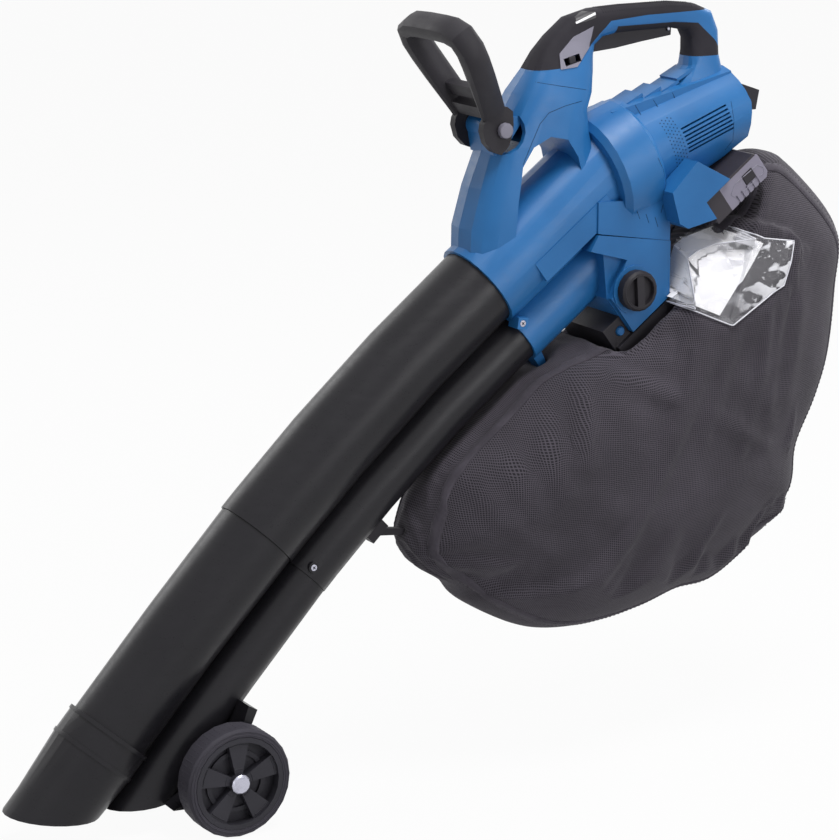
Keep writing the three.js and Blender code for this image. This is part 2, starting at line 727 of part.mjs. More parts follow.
function housingHollow() {
  const bore = turned(tubeFrame, [
    [-overrun, 0], [-overrun, suctionRadius + clearance],
    [plugDepth + clearance, suctionRadius + clearance],
    [plugDepth + clearance, suctionRadius - tubeWall],
    [ductLength + fanChamberFront, suctionRadius - tubeWall],
    [ductLength + fanChamberFront, 0],
  ]);
  const eye = turned(motorFrame, [
    [-shellWall, 0], [-shellWall, suctionRadius - tubeWall * 2],
    [fanChamberFront + clearance, suctionRadius - tubeWall * 2], [fanChamberFront + clearance, 0],
  ]);
  const chamber = turned(motorFrame, [
    [fanChamberFront, 0], [fanChamberFront, fanChamberRadius],
    [fanChamberRear, fanChamberRadius], [fanChamberRear, 0],
  ]);
  const bay = turned(motorFrame, [
    [fanChamberRear - clearance, 0], [fanChamberRear - clearance, motorBayRadius],
    [motorBayEnd, motorBayRadius], [motorBayEnd, 0],
  ], mediumSides);
  const throat = frameBox(motorFrame, throatShares.map((share) => share * fanChamberRadius),
    [-voluteRadius * 2, -voluteRadius * 0.3], [-throatHalfWidth, throatHalfWidth]);
  const throatSlab = frameBox(motorFrame, [fanChamberFront, fanChamberRear],
    [-voluteRadius * 2, -voluteRadius * 0.3], [-throatHalfWidth, throatHalfWidth]);
  return join(bore, eye, chamber, bay, throat.intersect(throatSlab));
}

// Vent slots on both sides of the barrel, running along the motor's axis.
const ventCount = 7;
const ventPitch = 4.9;
const ventHeight = 2.4;
const ventStart = 107;
const ventEnd = 180;
const ventTop = 24;

function vents() {
  const reach = barrelFrontRadius + overrun;
  return Array.from({ length: ventCount }, (_, i) => {
    const top = ventTop - i * ventPitch;
    return frameBox(motorFrame, [ventStart, ventEnd], [top - ventHeight, top], [-reach, reach]);
  });
}

// Raised panel along the duct's near and far side
const panelFront = 55;
const panelRear = 180;
const panelTop = -2;
const panelBottom = -30;
const panelFaceY = 57.5;

function ductPanels() {
  return frameBox(tubeFrame, [panelFront, panelRear], [panelBottom, panelTop],
    [-panelFaceY, panelFaceY]);
}

// Grip cover, inner pad and trigger slot, cut from the same loop
const coverShares = [
  [0.191, 0.733], [0.328, 0.746], [0.403, 0.767], [0.463, 0.847], [0.523, 0.925],
  [0.653, 0.940], [0.873, 0.946], [0.903, 1.039], [0.553, 1.074], [0.253, 1.039],
];
const padShares = [
  [0.548, 0.900], [0.535, 0.816], [0.653, 0.816], [0.790, 0.816], [0.781, 0.749],
  [0.943, 0.749], [0.903, 0.816], [0.841, 0.893], [0.753, 0.903],
];
const coverThickness = 2.6;
const triggerHalfWidth = 8;
const slotHalfWidth = triggerHalfWidth + runningGap / 2;
const slotShares = [
  [0.443, 0.763], [0.463, 0.896], [0.516, 0.925], [0.776, 0.925], [0.776, 0.786],
  [0.653, 0.761],
];
const loopHalfReach = handleHalfWidth * 2;

function region(shares, halfWidth = loopHalfReach) {
  return prism(shares.map(handlePoint), -halfWidth, halfWidth);
}

const speedSlotPlace = [0.372, 0.777];
const speedSlotHalfLength = 12;
const speedSlotHalfHeight = 4.5;
const speedSlotDepth = 9;
const speedFaceY = 24.5;

function speedSlot(grow) {
  const [x, z] = handlePoint(speedSlotPlace);
  return frameBox(sideFrame([x, z], tubeSlope / 3),
    [-speedSlotHalfLength - grow, speedSlotHalfLength + grow],
    [-speedSlotHalfHeight - grow, speedSlotHalfHeight + grow],
    [-loopHalfReach, -speedFaceY + speedSlotDepth + grow]);
}

function gripCover() {
  const skin = cut(handleLoop(0).intersect(region(coverShares)), handleLoop(coverThickness));
  return cut(skin, speedSlot(0), region(slotShares, slotHalfWidth), lightRoom());
}

// Trim on the head's left side: a grey panel round the speed slot and a white light strip
const panelShares = [
  [0.325, 0.742], [0.330, 0.805], [0.385, 0.870], [0.458, 0.908], [0.440, 0.820],
  [0.385, 0.748],
];
const lightShares = [
  [0.396, 0.921], [0.403, 0.949], [0.446, 0.968], [0.471, 0.966], [0.468, 0.942],
  [0.426, 0.928],
];
const trimThickness = 0.9;
const lightDepth = 1.2;

function leftSide(shares, grow = 0) {
  return prism(widened(shares.map(handlePoint), grow), -loopHalfReach, 0);
}

function headPanel() {
  const plate = cut(handleLoop(-clearance - trimThickness), handleLoop(-clearance));
  return cut(plate.intersect(leftSide(panelShares)), speedSlot(0));
}

function lightStrip() {
  return cut(handleLoop(-clearance), handleLoop(lightDepth)).intersect(leftSide(lightShares));
}

function lightRoom() {
  return cut(leftSide(lightShares, clearance), handleLoop(lightDepth + clearance));
}

function gripPad() {
  const skin = cut(handleLoop(0).intersect(region(padShares)), handleLoop(coverThickness));
  return cut(skin, region(slotShares, slotHalfWidth), triggerPinRoom());
}

const triggerPivot = handlePoint([0.743, 0.872]);
const triggerPinRadius = 2;
const triggerPinReach = 11;

function triggerPinRoom() {
  const reach = triggerPinReach + clearance;
  return crossBar(triggerPivot, triggerPinRadius + clearance, -reach, reach, tinySides);
}

function handleCut() {
  const core = handleLoop(coverThickness + clearance);
  return [
    cut(region(coverShares), core),
    cut(region(padShares), core),
    region(slotShares, slotHalfWidth),
    speedSlot(0),
    triggerPinRoom(),
  ];
}

// Room round the upper tube's two plugs
function tubePlugRoom() {
  const from = -plugDepth - clearance;
  return join(
    alongTube(from, overrun, constant(suctionRadius + clearance), noDrop, largeSides),
    alongTube(from, overrun, constant(blowRadius + clearance), blowDrop, mediumSides),
  );
}

// The handle is hollow, with its own walls and without the air passages' walls.
function handleHollow() {
  const inner = handleLoop(coverThickness + clearance + shellWall, smallSides);
  const archOutline = widened(archShares.map(handlePoint), shellWall);
  const arch = prism(archOutline, -loopHalfReach, loopHalfReach);
  return cut(inner, arch, duct(0), volute(0), barrel(0));
}

// An outline with every corner moved outwards by a distance.
function widened(outline, distance) {
  const area = outline.reduce((sum, [x, z], i) => {
    const [nextX, nextZ] = outline[(i + 1) % outline.length];
    return sum + x * nextZ - nextX * z;
  }, 0);
  const outward = Math.sign(area) * distance;
  const normal = ([ax, az], [bx, bz]) => {
    const length = Math.hypot(bx - ax, bz - az);
    return [(bz - az) / length, -(bx - ax) / length];
  };
  return outline.map((point, i) => {
    const before = normal(outline[(i + outline.length - 1) % outline.length], point);
    const after = normal(point, outline[(i + 1) % outline.length]);
    const share = outward / (1 + before[0] * after[0] + before[1] * after[1]);
    return [
      point[0] + (before[0] + after[0]) * share,
      point[1] + (before[1] + after[1]) * share,
    ];
  });
}

// Housing screws, driven in from the right into posts that cross both halves
const housingScrewShares = [
  [0.085, 0.200], [0.120, 0.380], [0.290, 0.600], [0.405, 0.330], [0.880, 0.610],
];
const housingScrewPlaces = housingScrewShares.map(handlePoint);
const screwPostRadius = 6;
const housingScrewFace = 17;
const housingScrewLength = 26;

function screwPosts() {
  const posts = join(...housingScrewPlaces.map((place) => crossBar(place, screwPostRadius,
    -handleHalfWidth, handleHalfWidth, smallSides)));
  return posts.intersect(handleLoop(shellWall, smallSides));
}

function housingScrewSeat(place) {
  return screwSeat(place, 1, housingScrewFace, housingScrewLength);
}

// Outlet housing: blow collar, selector chamber and bag port, drawn as shares of the
// spacing between the two channels in the tube's frame
function outletPoint([alongShare, upShare]) {
  return at(tubeFrame, alongShare * channelSpacing, upShare * channelSpacing);
}
const outletHalfWidth = 61;
const outletCoreHalfWidth = 52; // behind the notch over the blow collar
const outletWall = 3.2;
const blowCollarRadius = 38;
const blowCollarLength = 134;
const outletBoxShares = [
  [1.801, -0.452], [2.592, -1.305], [2.096, -1.964], [1.308, -1.964], [1.293, -1.306],
];
const outletFaceShares = [
  [1.700, -0.390], [2.592, -1.305], [2.096, -1.964], [1.308, -1.964], [1.313, -1.306],
  [1.855, -1.016], [1.458, -0.494],
];
const chamberShares = [
  [1.796, -0.510], [2.545, -1.314], [2.070, -1.920], [1.352, -1.920], [1.336, -1.306],
];
const throatMouthShares = [[2.0, -0.55], [2.47, -1.09], [2.55, -1.3], [2.1, -0.9]];
const selectorShares = [1.683, -1.449];
const spoutShares = { along: [1.349, 2.072], up: [-2.289, -1.95] };
const spoutHalfWidth = 48;
const spoutWall = 3;
const hookShares = [[0.02, -1.35], [0.2, -1.35], [0.13, -1.72], [0.02, -1.66]];
const hookHalfWidth = 10;
const collarBossShares = [[-0.08, -0.65], [0.04, -0.53], [0.16, -0.65], [0.04, -0.77]];
const collarScrewShares = [0.04, -0.65];
const collarBossFace = 47;
const collarBossDepth = 22;
const selectorShaftRadius = 5;
const blowFrame = sideFrame(at(tubeFrame, 0, -channelSpacing), tubeSlope);
const selectorCentre = outletPoint(selectorShares);
const knobRingRadius = 30;
const knobRingHeight = 2;

function outletHousing() {
  const collar = turned(blowFrame, [
    [0, 0], [0, blowCollarRadius], [blowCollarLength, blowCollarRadius], [blowCollarLength, 0],
  ], mediumSides);
  const box = join(
    prism(outletBoxShares.map(outletPoint), -outletCoreHalfWidth, outletCoreHalfWidth),
    prism(outletFaceShares.map(outletPoint), -outletHalfWidth, outletHalfWidth),
  );
  const ring = crossBar(selectorCentre, knobRingRadius, -outletHalfWidth - knobRingHeight,
    -outletHalfWidth, mediumSides);
  const spoutBox = (inset) => frameBox(tubeFrame,
    spoutShares.along.map((share, i) => share * channelSpacing + (i ? -inset : inset)),
    [spoutShares.up[0] * channelSpacing - inset, spoutShares.up[1] * channelSpacing],
    [-spoutHalfWidth + inset, spoutHalfWidth - inset]);
  const hook = prism(hookShares.map(outletPoint), -hookHalfWidth, hookHalfWidth);
  const bossOutline = collarBossShares.map(outletPoint);
  const bossInner = collarBossFace - collarBossDepth;
  const bosses = [
    prism(bossOutline, bossInner, collarBossFace),
    prism(bossOutline, -collarBossFace, -bossInner),
  ];
  const solid = join(collar, box, ring, spoutBox(0), hook, ...bosses);
  const bore = turned(blowFrame, [
    [-overrun, 0], [-overrun, blowRadius + clearance], [plugDepth + clearance,
      blowRadius + clearance], [plugDepth + clearance, blowRadius - tubeWall],
    [blowCollarLength, blowRadius - tubeWall], [blowCollarLength, 0],
  ], mediumSides);
  const chamberHalf = outletCoreHalfWidth - outletWall;
  const chamber = prism(chamberShares.map(outletPoint), -chamberHalf, chamberHalf);
  const throat = prism(throatMouthShares.map(outletPoint), -throatHalfWidth, throatHalfWidth);
  const portHole = spoutBox(spoutWall);
  const shaftHole = crossBar(selectorCentre, selectorShaftRadius + clearance,
    -outletHalfWidth - overrun, outletHalfWidth + overrun);
  const place = outletPoint(collarScrewShares);
  const notch = frameBox(tubeFrame, [-overrun, plugDepth / 4], [-ductRadius, 0],
    [-suctionRadius / 2, suctionRadius / 2]);
  return cut(solid, housingOuter(clearance), tubePlugRoom(), notch, bore, chamber, throat, portHole,
    shaftHole, screwSeat(place, 1, collarBossFace), screwSeat(place, -1, collarBossFace));
}

// Selector: knob, shaft and flap turn as one
const knobRadius = 25;
const knobThickness = 14;
const knobBarHalfWidth = 5;
const knobDish = 6;
const flapLength = 58;
const flapThickness = 3;
const flapHalfWidth = 47;
const flapSlope = 47; // degrees above the horizontal, at rest

function selectorKnob() {
  const inner = outletHalfWidth + knobRingHeight + runningGap / 2;
  const outer = inner + knobThickness;
  const body = crossTurned(selectorCentre, [
    [-inner, 0], [-inner, knobRadius], [-outer + knobDish / 2, knobRadius],
    [-outer, knobRadius - knobDish / 2], [-outer, knobRadius - knobDish],
    [-outer + knobDish, knobRadius - knobDish], [-outer + knobDish, 0],
  ], mediumSides);
  const frame = sideFrame(selectorCentre, flapSlope * 2);
  const reach = knobRadius - knobDish / 2;
  const bar = frameBox(frame, [-reach, reach], [-knobBarHalfWidth, knobBarHalfWidth],
    [-outer, -inner - knobDish / 2]);
  const socket = crossBar(selectorCentre, selectorShaftRadius + clearance,
    -outer + knobDish * 1.6, 0);
  return cut(join(body, bar), socket);
}

function selectorFlap() {
  const from = -outletHalfWidth - knobRingHeight - knobDish / 2;
  const shaft = crossBar(selectorCentre, selectorShaftRadius, from, outletHalfWidth);
  const frame = sideFrame(selectorCentre, flapSlope);
  const half = flapThickness / 2;
  const blade = frameBox(frame, [0, flapLength], [-half, half], [-flapHalfWidth, flapHalfWidth]);
  return join(shaft, blade);
}

// Bag collar under the bag port, with its latch riser
const bagCollarShares = {
  along: [0.988, 2.193], up: [-2.349, -2.006], riserAlong: [0.952, 1.301], riserUp: -1.663,
};
const bagCollarHalfWidth = 58;
const riserHalfWidth = 52;
const latchShares = [1.183, -1.857];
const latchRadius = 6;
const latchDepth = 12;
const latchProud = 2.5;
const latchHeadRadius = 5;
const latchCentre = outletPoint(latchShares);

function bagCollar(grow = 0) {
  const scaled = (pair) => [pair[0] * channelSpacing - grow, pair[1] * channelSpacing + grow];
  const up = scaled(bagCollarShares.up);
  const half = bagCollarHalfWidth + grow;
  const frame = frameBox(tubeFrame, scaled(bagCollarShares.along), up, [-half, half]);
  const riser = frameBox(tubeFrame, scaled(bagCollarShares.riserAlong),
    scaled([bagCollarShares.up[0], bagCollarShares.riserUp]),
    [-riserHalfWidth - grow, riserHalfWidth + grow]);
  return join(frame, riser);
}

function bagCollarBody() {
  const spread = clearance;
  const hole = frameBox(tubeFrame,
    spoutShares.along.map((share, i) => share * channelSpacing + (i ? spread : -spread)),
    [-channelSpacing * 3, 0], [-spoutHalfWidth - spread, spoutHalfWidth + spread]);
  const seat = crossBar(latchCentre, latchRadius + clearance, -riserHalfWidth - overrun,
    -riserHalfWidth + latchDepth);
  return cut(bagCollar(), hole, seat);
}

const latchTravel = 3;
function latchButton() {
  const face = riserHalfWidth + latchProud;
  const back = riserHalfWidth - latchDepth + latchTravel + clearance;
  return crossTurned(latchCentre, [
    [-back, 0], [-back, latchRadius], [-riserHalfWidth + clearance, latchRadius],
    [-face, latchHeadRadius], [-face, 0],
  ], smallSides);
}

// Battery docks and packs under the motor barrel, on the tube's frame
const dockShares = [
  [2.892, -0.566], [3.494, -0.482], [3.780, -1.080], [3.289, -1.416], [2.795, -1.181],
  [2.723, -1.024],
];
const dockInner = 5;
const dockOuter = 88;
const packFrom = 271;
const packMiddle = -108.5; // below the tube's axis
const packInner = 9;
const packChamfer = 5;
const packRibs = 5;
const packRibPitch = 9;
const packRibDepth = 1.5;
const releaseLength = 17;
const releaseHeight = 13;
const releaseDepth = 5;
const releaseTravel = 2;
const packTravel = 48;
const railDepth = 8;
const railNeck = 3.5;
const railHalfWidth = 20;
const railNeckHalfWidth = 15;
const railLength = 40;
const contactLength = 8;

function packOutline(grow) {
  const end = packFrom + packLength + grow;
  const low = packMiddle - packHeight / 2 - grow;
  const high = packMiddle + packHeight / 2 + grow;
  return [
    [packFrom - grow, low], [end - packChamfer, low], [end, low + packChamfer],
    [end, high - packChamfer], [end - packChamfer, high], [packFrom - grow, high],
  ];
}

// The T-shaped rail under the dock, which the pack slides along.
function packRail(side, grow) {
  const top = packMiddle + packHeight / 2 + clearance * 2;
  const middle = packInner + packWidth / 2;
  const bar = (from, to, half) => sidePrism([
    [packFrom - grow * overrun, to - grow], [packFrom + railLength + grow, to - grow],
    [packFrom + railLength + grow, from + grow], [packFrom - grow * overrun, from + grow],
  ], side, middle - half - grow, middle + half + grow);
  return join(
    bar(top, top - railDepth, railNeckHalfWidth),
    bar(top - railNeck, top - railDepth, railHalfWidth),
  );
}

function sidePrism(outline, side, inner, outer) {
  const ends = [side * inner, side * outer];
  return framePrism(tubeFrame, outline, Math.min(...ends), Math.max(...ends));
}

function contactOutline(grow) {
  const low = packMiddle + packHeight / 8 - grow;
  const high = packMiddle + packHeight / 2 + grow;
  const front = packFrom - contactLength - grow;
  const rear = packFrom - clearance + grow;
  return [[front, low], [rear, low], [rear, high], [front, high]];
}

function batteryDock(side) {
  const outline = dockShares.map((pair) => pair.map((share) => share * channelSpacing));
  const body = sidePrism(outline, side, dockInner, dockOuter);
  const room = packOutline(clearance).map(([along, up]) => [
    along > packFrom ? along + overrun : along,
    up < packMiddle ? up - overrun : up,
  ]);
  const pocket = sidePrism(room, side, -overrun, dockOuter + overrun);
  const contactRoom = sidePrism(contactOutline(clearance), side,
    packInner + packWidth / 4 - clearance, packInner + (packWidth * 3) / 4 + clearance);
  return join(cut(body, housingOuter(clearance), pocket, contactRoom), packRail(side, 0));
}

function releasePlace() {
  return [packFrom + packLength - packChamfer - releaseLength * 1.2, packMiddle];
}

function releaseOutline(grow) {
  const [along, up] = releasePlace();
  const halfLength = releaseLength / 2 + grow;
  const halfHeight = releaseHeight / 2 + grow;
  return [
    [along - halfLength, up - halfHeight], [along + halfLength, up - halfHeight],
    [along + halfLength, up + halfHeight], [along - halfLength, up + halfHeight],
  ];
}

function batteryPack(side) {
  const outer = packInner + packWidth;
  const ribsFrom = packFrom + packLength / 2;
  const body = sidePrism(packOutline(0), side, packInner, outer);
  const grooves = Array.from({ length: packRibs }, (_, i) => {
    const along = ribsFrom + i * packRibPitch - packRibPitch;
    const outline = [
      [along, packMiddle - packHeight], [along + packRibPitch / 3, packMiddle - packHeight],
      [along + packRibPitch / 3, packMiddle - packHeight / 5],
      [along, packMiddle - packHeight / 5],
    ];
    return sidePrism(outline, side, outer - packRibDepth, outer + overrun);
  });
  const seat = sidePrism(releaseOutline(clearance), side, outer - releaseDepth,
    outer + overrun);
  return cut(body, ...grooves, seat, packRail(side, clearance));
}

function packRelease(side) {
  const outer = packInner + packWidth;
  return sidePrism(releaseOutline(0), side, outer - releaseDepth + releaseTravel + clearance,
    outer + runningGap);
}

function dockContact(side) {
  return sidePrism(contactOutline(0), side, packInner + packWidth / 4,
    packInner + (packWidth * 3) / 4);
}

// Collection bag: outline as shares of its width and height about a centre
const bagCentre = [590, 400];
const bagShares = [
  [-0.221, 0.175], [-0.320, 0.087], [-0.442, -0.027], [-0.500, -0.167], [-0.476, -0.211],
  [-0.395, -0.270], [-0.362, -0.312], [-0.265, -0.372], [-0.186, -0.399], [-0.017, -0.413],
  [0.111, -0.338], [0.248, -0.328], [0.294, -0.215], [0.363, -0.189], [0.363, -0.087],
  [0.417, 0.031], [0.451, 0.130], [0.464, 0.278], [0.465, 0.400], [0.367, 0.523],
  [0.282, 0.585], [0.256, 0.568], [0.222, 0.500], [0.168, 0.440], [0.090, 0.420],
  [0.067, 0.405], [0.045, 0.333], [0.000, 0.297], [-0.053, 0.252], [-0.130, 0.205],
];
const bagRingShares = [-0.97, -0.82, -0.55, 0, 0.55, 0.82, 0.97];
const bagRoundness = 2.5;
const bagRoom = 1; // between the bag and what it passes

function bagShape(grow) {
  const half = bagHalfWidth + grow;
  return loft(bagRingShares.map((share) => {
    const scale = (1 - Math.abs(share) ** bagRoundness) ** (1 / bagRoundness);
    return bagShares.map(([alongShare, upShare]) => {
      const dx = alongShare * bagLength * scale;
      const dz = upShare * bagHeight * scale;
      const stretch = 1 + grow / Math.hypot(dx, dz);
      return new THREE.Vector3(bagCentre[0] + dx * stretch, share * half,
        bagCentre[1] + dz * stretch);
    });
  }));
}

function packSweep(side) {
  const room = packOutline(bagRoom).map(([along, up]) => [
    along > packFrom ? along + packTravel : along, up,
  ]);
  return sidePrism(room, side, packInner - bagRoom, packInner + packWidth + bagRoom * 2);
}

function dockRoom(side) {
  const outline = dockShares.map((pair) => pair.map((share) => share * channelSpacing));
  return sidePrism(widened(outline, bagRoom), side, dockInner - bagRoom, dockOuter + bagRoom);
}

const bracketHalf = 20; // half the rear bracket's width
const hangerShares = [
  [0.984, 0.628], [1.003, 0.618], [1.073, 0.584], [1.061, 0.497], [1.051, 0.395],
  [1.020, 0.395], [0.984, 0.420],
];
const hangerPocketShares = [
  [1.004, 0.560], [1.050, 0.545], [1.030, 0.330], [1.004, 0.330],
];
const hangerHeadPocketShares = [
  [1.004, 0.560], [1.050, 0.545], [1.048, 0.512], [1.004, 0.512],
];
const hangerFootShares = [
  [0.900, 0.300], [1.100, 0.300], [1.100, 0.500], [0.900, 0.500],
];
const hangerFootHalf = 7.5; // half the foot's width, between the packs

function bagHanger() {
  const body = prism(hangerShares.map(handlePoint), -bracketHalf, bracketHalf);
  const footRoom = hangerFootShares.map(handlePoint);
  const sides = [
    prism(footRoom, hangerFootHalf, bracketHalf + overrun),
    prism(footRoom, -bracketHalf - overrun, -hangerFootHalf),
  ];
  const wall = bracketHalf - shellWall;
  const footWall = hangerFootHalf - shellWall;
  const pocket = join(prism(hangerPocketShares.map(handlePoint), -footWall, footWall),
    prism(hangerHeadPocketShares.map(handlePoint), -wall, wall));
  return cut(body, ...sides, pocket, housingOuter(clearance));
}

// Front clip that ties the bag to the blow channel
const clipDistance = 300; // down the tube from the collar
const clipHalfLength = 14;
const clipHalfWidth = 9;
const clipDepth = 13;
const strapReach = 60;

function frontClip() {
  const station = tubeStation(clipDistance);
  const drop = channelSpacing;
  const centre = [
    station.x + drop * Math.sin(station.slope),
    station.z - drop * Math.cos(station.slope),
  ];
  const frame = sideFrame(centre, station.slope / degree);
  const block = frameBox(frame, [-clipHalfLength, clipHalfLength],
    [-blowRadius - clipDepth, -blowRadius / 2], [-clipHalfWidth, clipHalfWidth]);
  const [x, z] = at(frame, 0, -blowRadius - clipDepth / 2);
  const strap = prism([
    [x, z - clipDepth / 2], [x + strapReach, z - clipDepth], [x + strapReach, z - clipDepth / 2],
    [x, z + clipDepth / 4],
  ], -clipHalfWidth / 2, clipHalfWidth / 2);
  const tube = alongTube(0, jointStart, constant(blowRadius + clearance), blowDrop,
    mediumSides);
  return cut(join(block, strap), tube, bagShape(clearance));
}

// Document pouch on the bag's left side, with its card
const pouchShares = [
  [-0.030, 0.303], [-0.026, 0.420], [0.008, 0.445], [0.099, 0.455], [0.201, 0.403],
  [0.282, 0.387], [0.245, 0.300], [0.220, 0.290], [0.114, 0.233],
];
const pouchFilm = 0.8;
const cardThickness = 1.2;
const pouchSeam = 6;
const pouchNear = 30;

function bagPatch(shares, from, to, inset = 0) {
  const outline = shares.map(([along, up]) => [
    bagCentre[0] + along * bagLength, bagCentre[1] + up * bagHeight,
  ]);
  const column = prism(widened(outline, -inset), -bagHalfWidth * 2, -pouchNear - inset);
  const shape = bagShape(0);
  return cut(shape.translate([0, -to, 0]), shape.translate([0, -from, 0])).intersect(column);
}

function pouch() {
  const innerTop = clearance * 2 + cardThickness;
  const shell = bagPatch(pouchShares, clearance, innerTop + pouchFilm);
  return cut(shell, bagPatch(pouchShares, 0, innerTop, pouchSeam));
}

// What the bag and its pouch leave free at the outlet housing
function outletRoom() {
  const half = outletHalfWidth + bagRoom;
  const boxFoot = Math.min(...outletBoxShares.map(([, up]) => up));
  const neck = frameBox(tubeFrame,
    bagCollarShares.along.map((share) => share * channelSpacing),
    [bagCollarShares.up[0], boxFoot].map((share) => share * channelSpacing),
    [-bagCollarHalfWidth, bagCollarHalfWidth]);
  const latchRoom = crossBar(latchCentre, latchRadius + bagRoom,
    -riserHalfWidth - latchProud - bagRoom, 0, smallSides);
  const reach = blowCollarRadius + bagRoom;
  const collarRoom = turned(blowFrame, [
    [-overrun, 0], [-overrun, reach], [blowCollarLength, reach], [blowCollarLength, 0],
  ], mediumSides);
  return join(neck, latchRoom, collarRoom,
    prism(widened(outletBoxShares.map(outletPoint), bagRoom), -half, half));
}

const bagClears = [outletRoom(), bagCollar(bagRoom), packSweep(1), packSweep(-1), dockRoom(1),
  dockRoom(-1)];
const bag = cut(bagShape(0), ...bagClears,
  prism(widened(hangerShares.map(handlePoint), clearance), -bracketHalf - clearance,
    bracketHalf + clearance),
  prism(widened(hookShares.map(outletPoint), bagRoom * 2), -hookHalfWidth - bagRoom,
    hookHalfWidth + bagRoom));

// Bail handle, leaning forward on the fork
const bailLean = 31.4; // degrees from the upright
const bailFrame = sideFrame(bailPivot, bailLean);
const bailHalfDepth = 17;
const bailBoltRadius = 4;
const bailBoltReach = 41;
const bailCapRadius = 9.5;
const bailCapOuter = 45;
const bailTop = 143; // up the bar's middle line
// The bar's middle line as [across, up, half width] shares of its height.
const bailShares = [
  [0.227, 0.060, 0.034], [0.240, 0.170, 0.045], [0.295, 0.330, 0.066],
  [0.360, 0.520, 0.084], [0.415, 0.700, 0.092], [0.440, 0.830, 0.094],
  [0.405, 0.950, 0.094], [0.285, 0.997, 0.092], [0.130, 1.005, 0.090],
];
const bailPlateShares = [
  [0.42, 0.75], [0.46, 0.20], [0.40, -0.25], [0.22, -0.70], [-0.12, -1.00],
  [-0.50, -0.86], [-0.85, -0.50], [-1.00, 0.00], [-0.95, 0.30], [-0.70, 0.72],
  [-0.30, 0.95], [0.15, 0.95],
];
const bailWeb = [46, 62];
const bailWebHalfDepth = 5;
const bailBlock = [24, 40];
const bailBlockHalfDepth = 12;

function bailPoint(across, up) {
  const [x, z] = at(bailFrame, 0, up);
  return new THREE.Vector3(x, across, z);
}

function bailHandle() {
  const side = bailShares.map(([across, up, half]) => [across, up, half]);
  const whole = [...side, ...side.map(([across, up, half]) => [-across, up, half]).reverse()];
  const line = whole.map(([across, up]) => bailPoint(across * bailTop, up * bailTop));
  const deep = new THREE.Vector3(bailFrame.cos, 0, bailFrame.sin).multiplyScalar(bailHalfDepth);
  const rings = line.map((point, i) => {
    const before = line[Math.max(i - 1, 0)];
    const after = line[Math.min(i + 1, line.length - 1)];
    const direction = after.clone().sub(before).normalize();
    const across = new THREE.Vector3().crossVectors(direction, deep).normalize();
    return roundedRing(point, deep, across.multiplyScalar(whole[i][2] * bailTop),
      smallSides, 2.6);
  });
  const half = bailPlateInner + bailWebHalfDepth;
  const web = frameBox(bailFrame, [-bailWebHalfDepth, bailWebHalfDepth], bailWeb,
    [-half - bailWebHalfDepth, half + bailWebHalfDepth]);
  const block = frameBox(bailFrame, [-bailBlockHalfDepth, bailBlockHalfDepth], bailBlock,
    [-half, half]);
  const plateOutline = bailPlateShares.map(([x, z]) => [
    bailPivot[0] + x * bailPlateRadius, bailPivot[1] + z * bailPlateRadius,
  ]);
  const plates = [
    prism(plateOutline, bailPlateInner, bailPlateOuter),
    prism(plateOutline, -bailPlateOuter, -bailPlateInner),
  ];
  const hole = crossBar(bailPivot, bailBoltRadius + clearance, -bailBoltReach - overrun,
    bailBoltReach + overrun);
  const room = crossBar(bailPivot, bailPlateRadius * 0.8, -bailPlateInner, bailPlateInner,
    mediumSides);
  return cut(join(cut(loft(rings), room), web, block, ...plates), hole);
}

function bailCap(side) {
  const inner = bailPlateOuter + clearance;
  const cap = crossTurned(bailPivot, [
    [inner, 0], [inner, bailCapRadius], [bailCapOuter - runningGap, bailCapRadius],
    [bailCapOuter, bailCapRadius - runningGap], [bailCapOuter, 0],
  ].map(([across, radius]) => [across * side, radius]), smallSides);
  const ends = [0, side * (bailBoltReach + clearance)];
  return cut(cap, crossBar(bailPivot, bailBoltRadius + clearance, Math.min(...ends),
    Math.max(...ends)));
}

// Trigger under the grip and the switch it presses
const triggerShares = [
  [0.756, 0.844], [0.758, 0.893], [0.653, 0.896], [0.503, 0.875], [0.478, 0.854],
  [0.472, 0.795], [0.553, 0.805], [0.653, 0.826],
];
const switchShares = [[0.300, 0.820], [0.432, 0.800], [0.440, 0.890], [0.340, 0.930]];

function trigger() {
  const body = region(triggerShares, triggerHalfWidth);
  const reach = triggerHalfWidth + overrun;
  return cut(body, crossBar(triggerPivot, triggerPinRadius + clearance, -reach, reach,
    tinySides));
}

function triggerSwitch() {
  const block = region(switchShares);
  return block.intersect(handleLoop(coverThickness + clearance * 2 + shellWall, smallSides));
}

const sliderHalfLength = 4.5;
const sliderHalfHeight = speedSlotHalfHeight - clearance;
const sliderProud = 1.6;
const sliderFrame = sideFrame(handlePoint(speedSlotPlace), tubeSlope / 3);

function speedSlider() {
  return frameBox(sliderFrame, [-sliderHalfLength, sliderHalfLength],
    [-sliderHalfHeight, sliderHalfHeight],
    [-speedFaceY - sliderProud, -speedFaceY + speedSlotDepth - runningGap / 2]);
}

// Fan wheel, motor and control board, on the motor's frame
const fanRadius = 66;
const fanFront = 10;
const fanBack = 50;
const fanDisc = 3;
const fanHubRadius = 15;
const fanBlades = 10;
const fanBladeThickness = 2.4;
const fanEyeRadius = 30;
const shaftRadius = 5;
const shaftFront = 16;
const shaftRear = 130;
const plateFront = 56.3;
const plateThickness = 4;
const bearingRadius = 11;
const canRadius = 31;
const canLength = 60;
const canFront = plateFront + plateThickness + clearance;
const boardAlong = 138;
const boardThickness = 2;
const boardRadius = motorBayRadius - clearance;
const chipHeight = 6;

function ringBody(outer, inner, from, to, sides = mediumSides) {
  return turned(motorFrame, [
    [from, inner], [from, outer], [to, outer], [to, inner], [from, inner],
  ], sides);
}

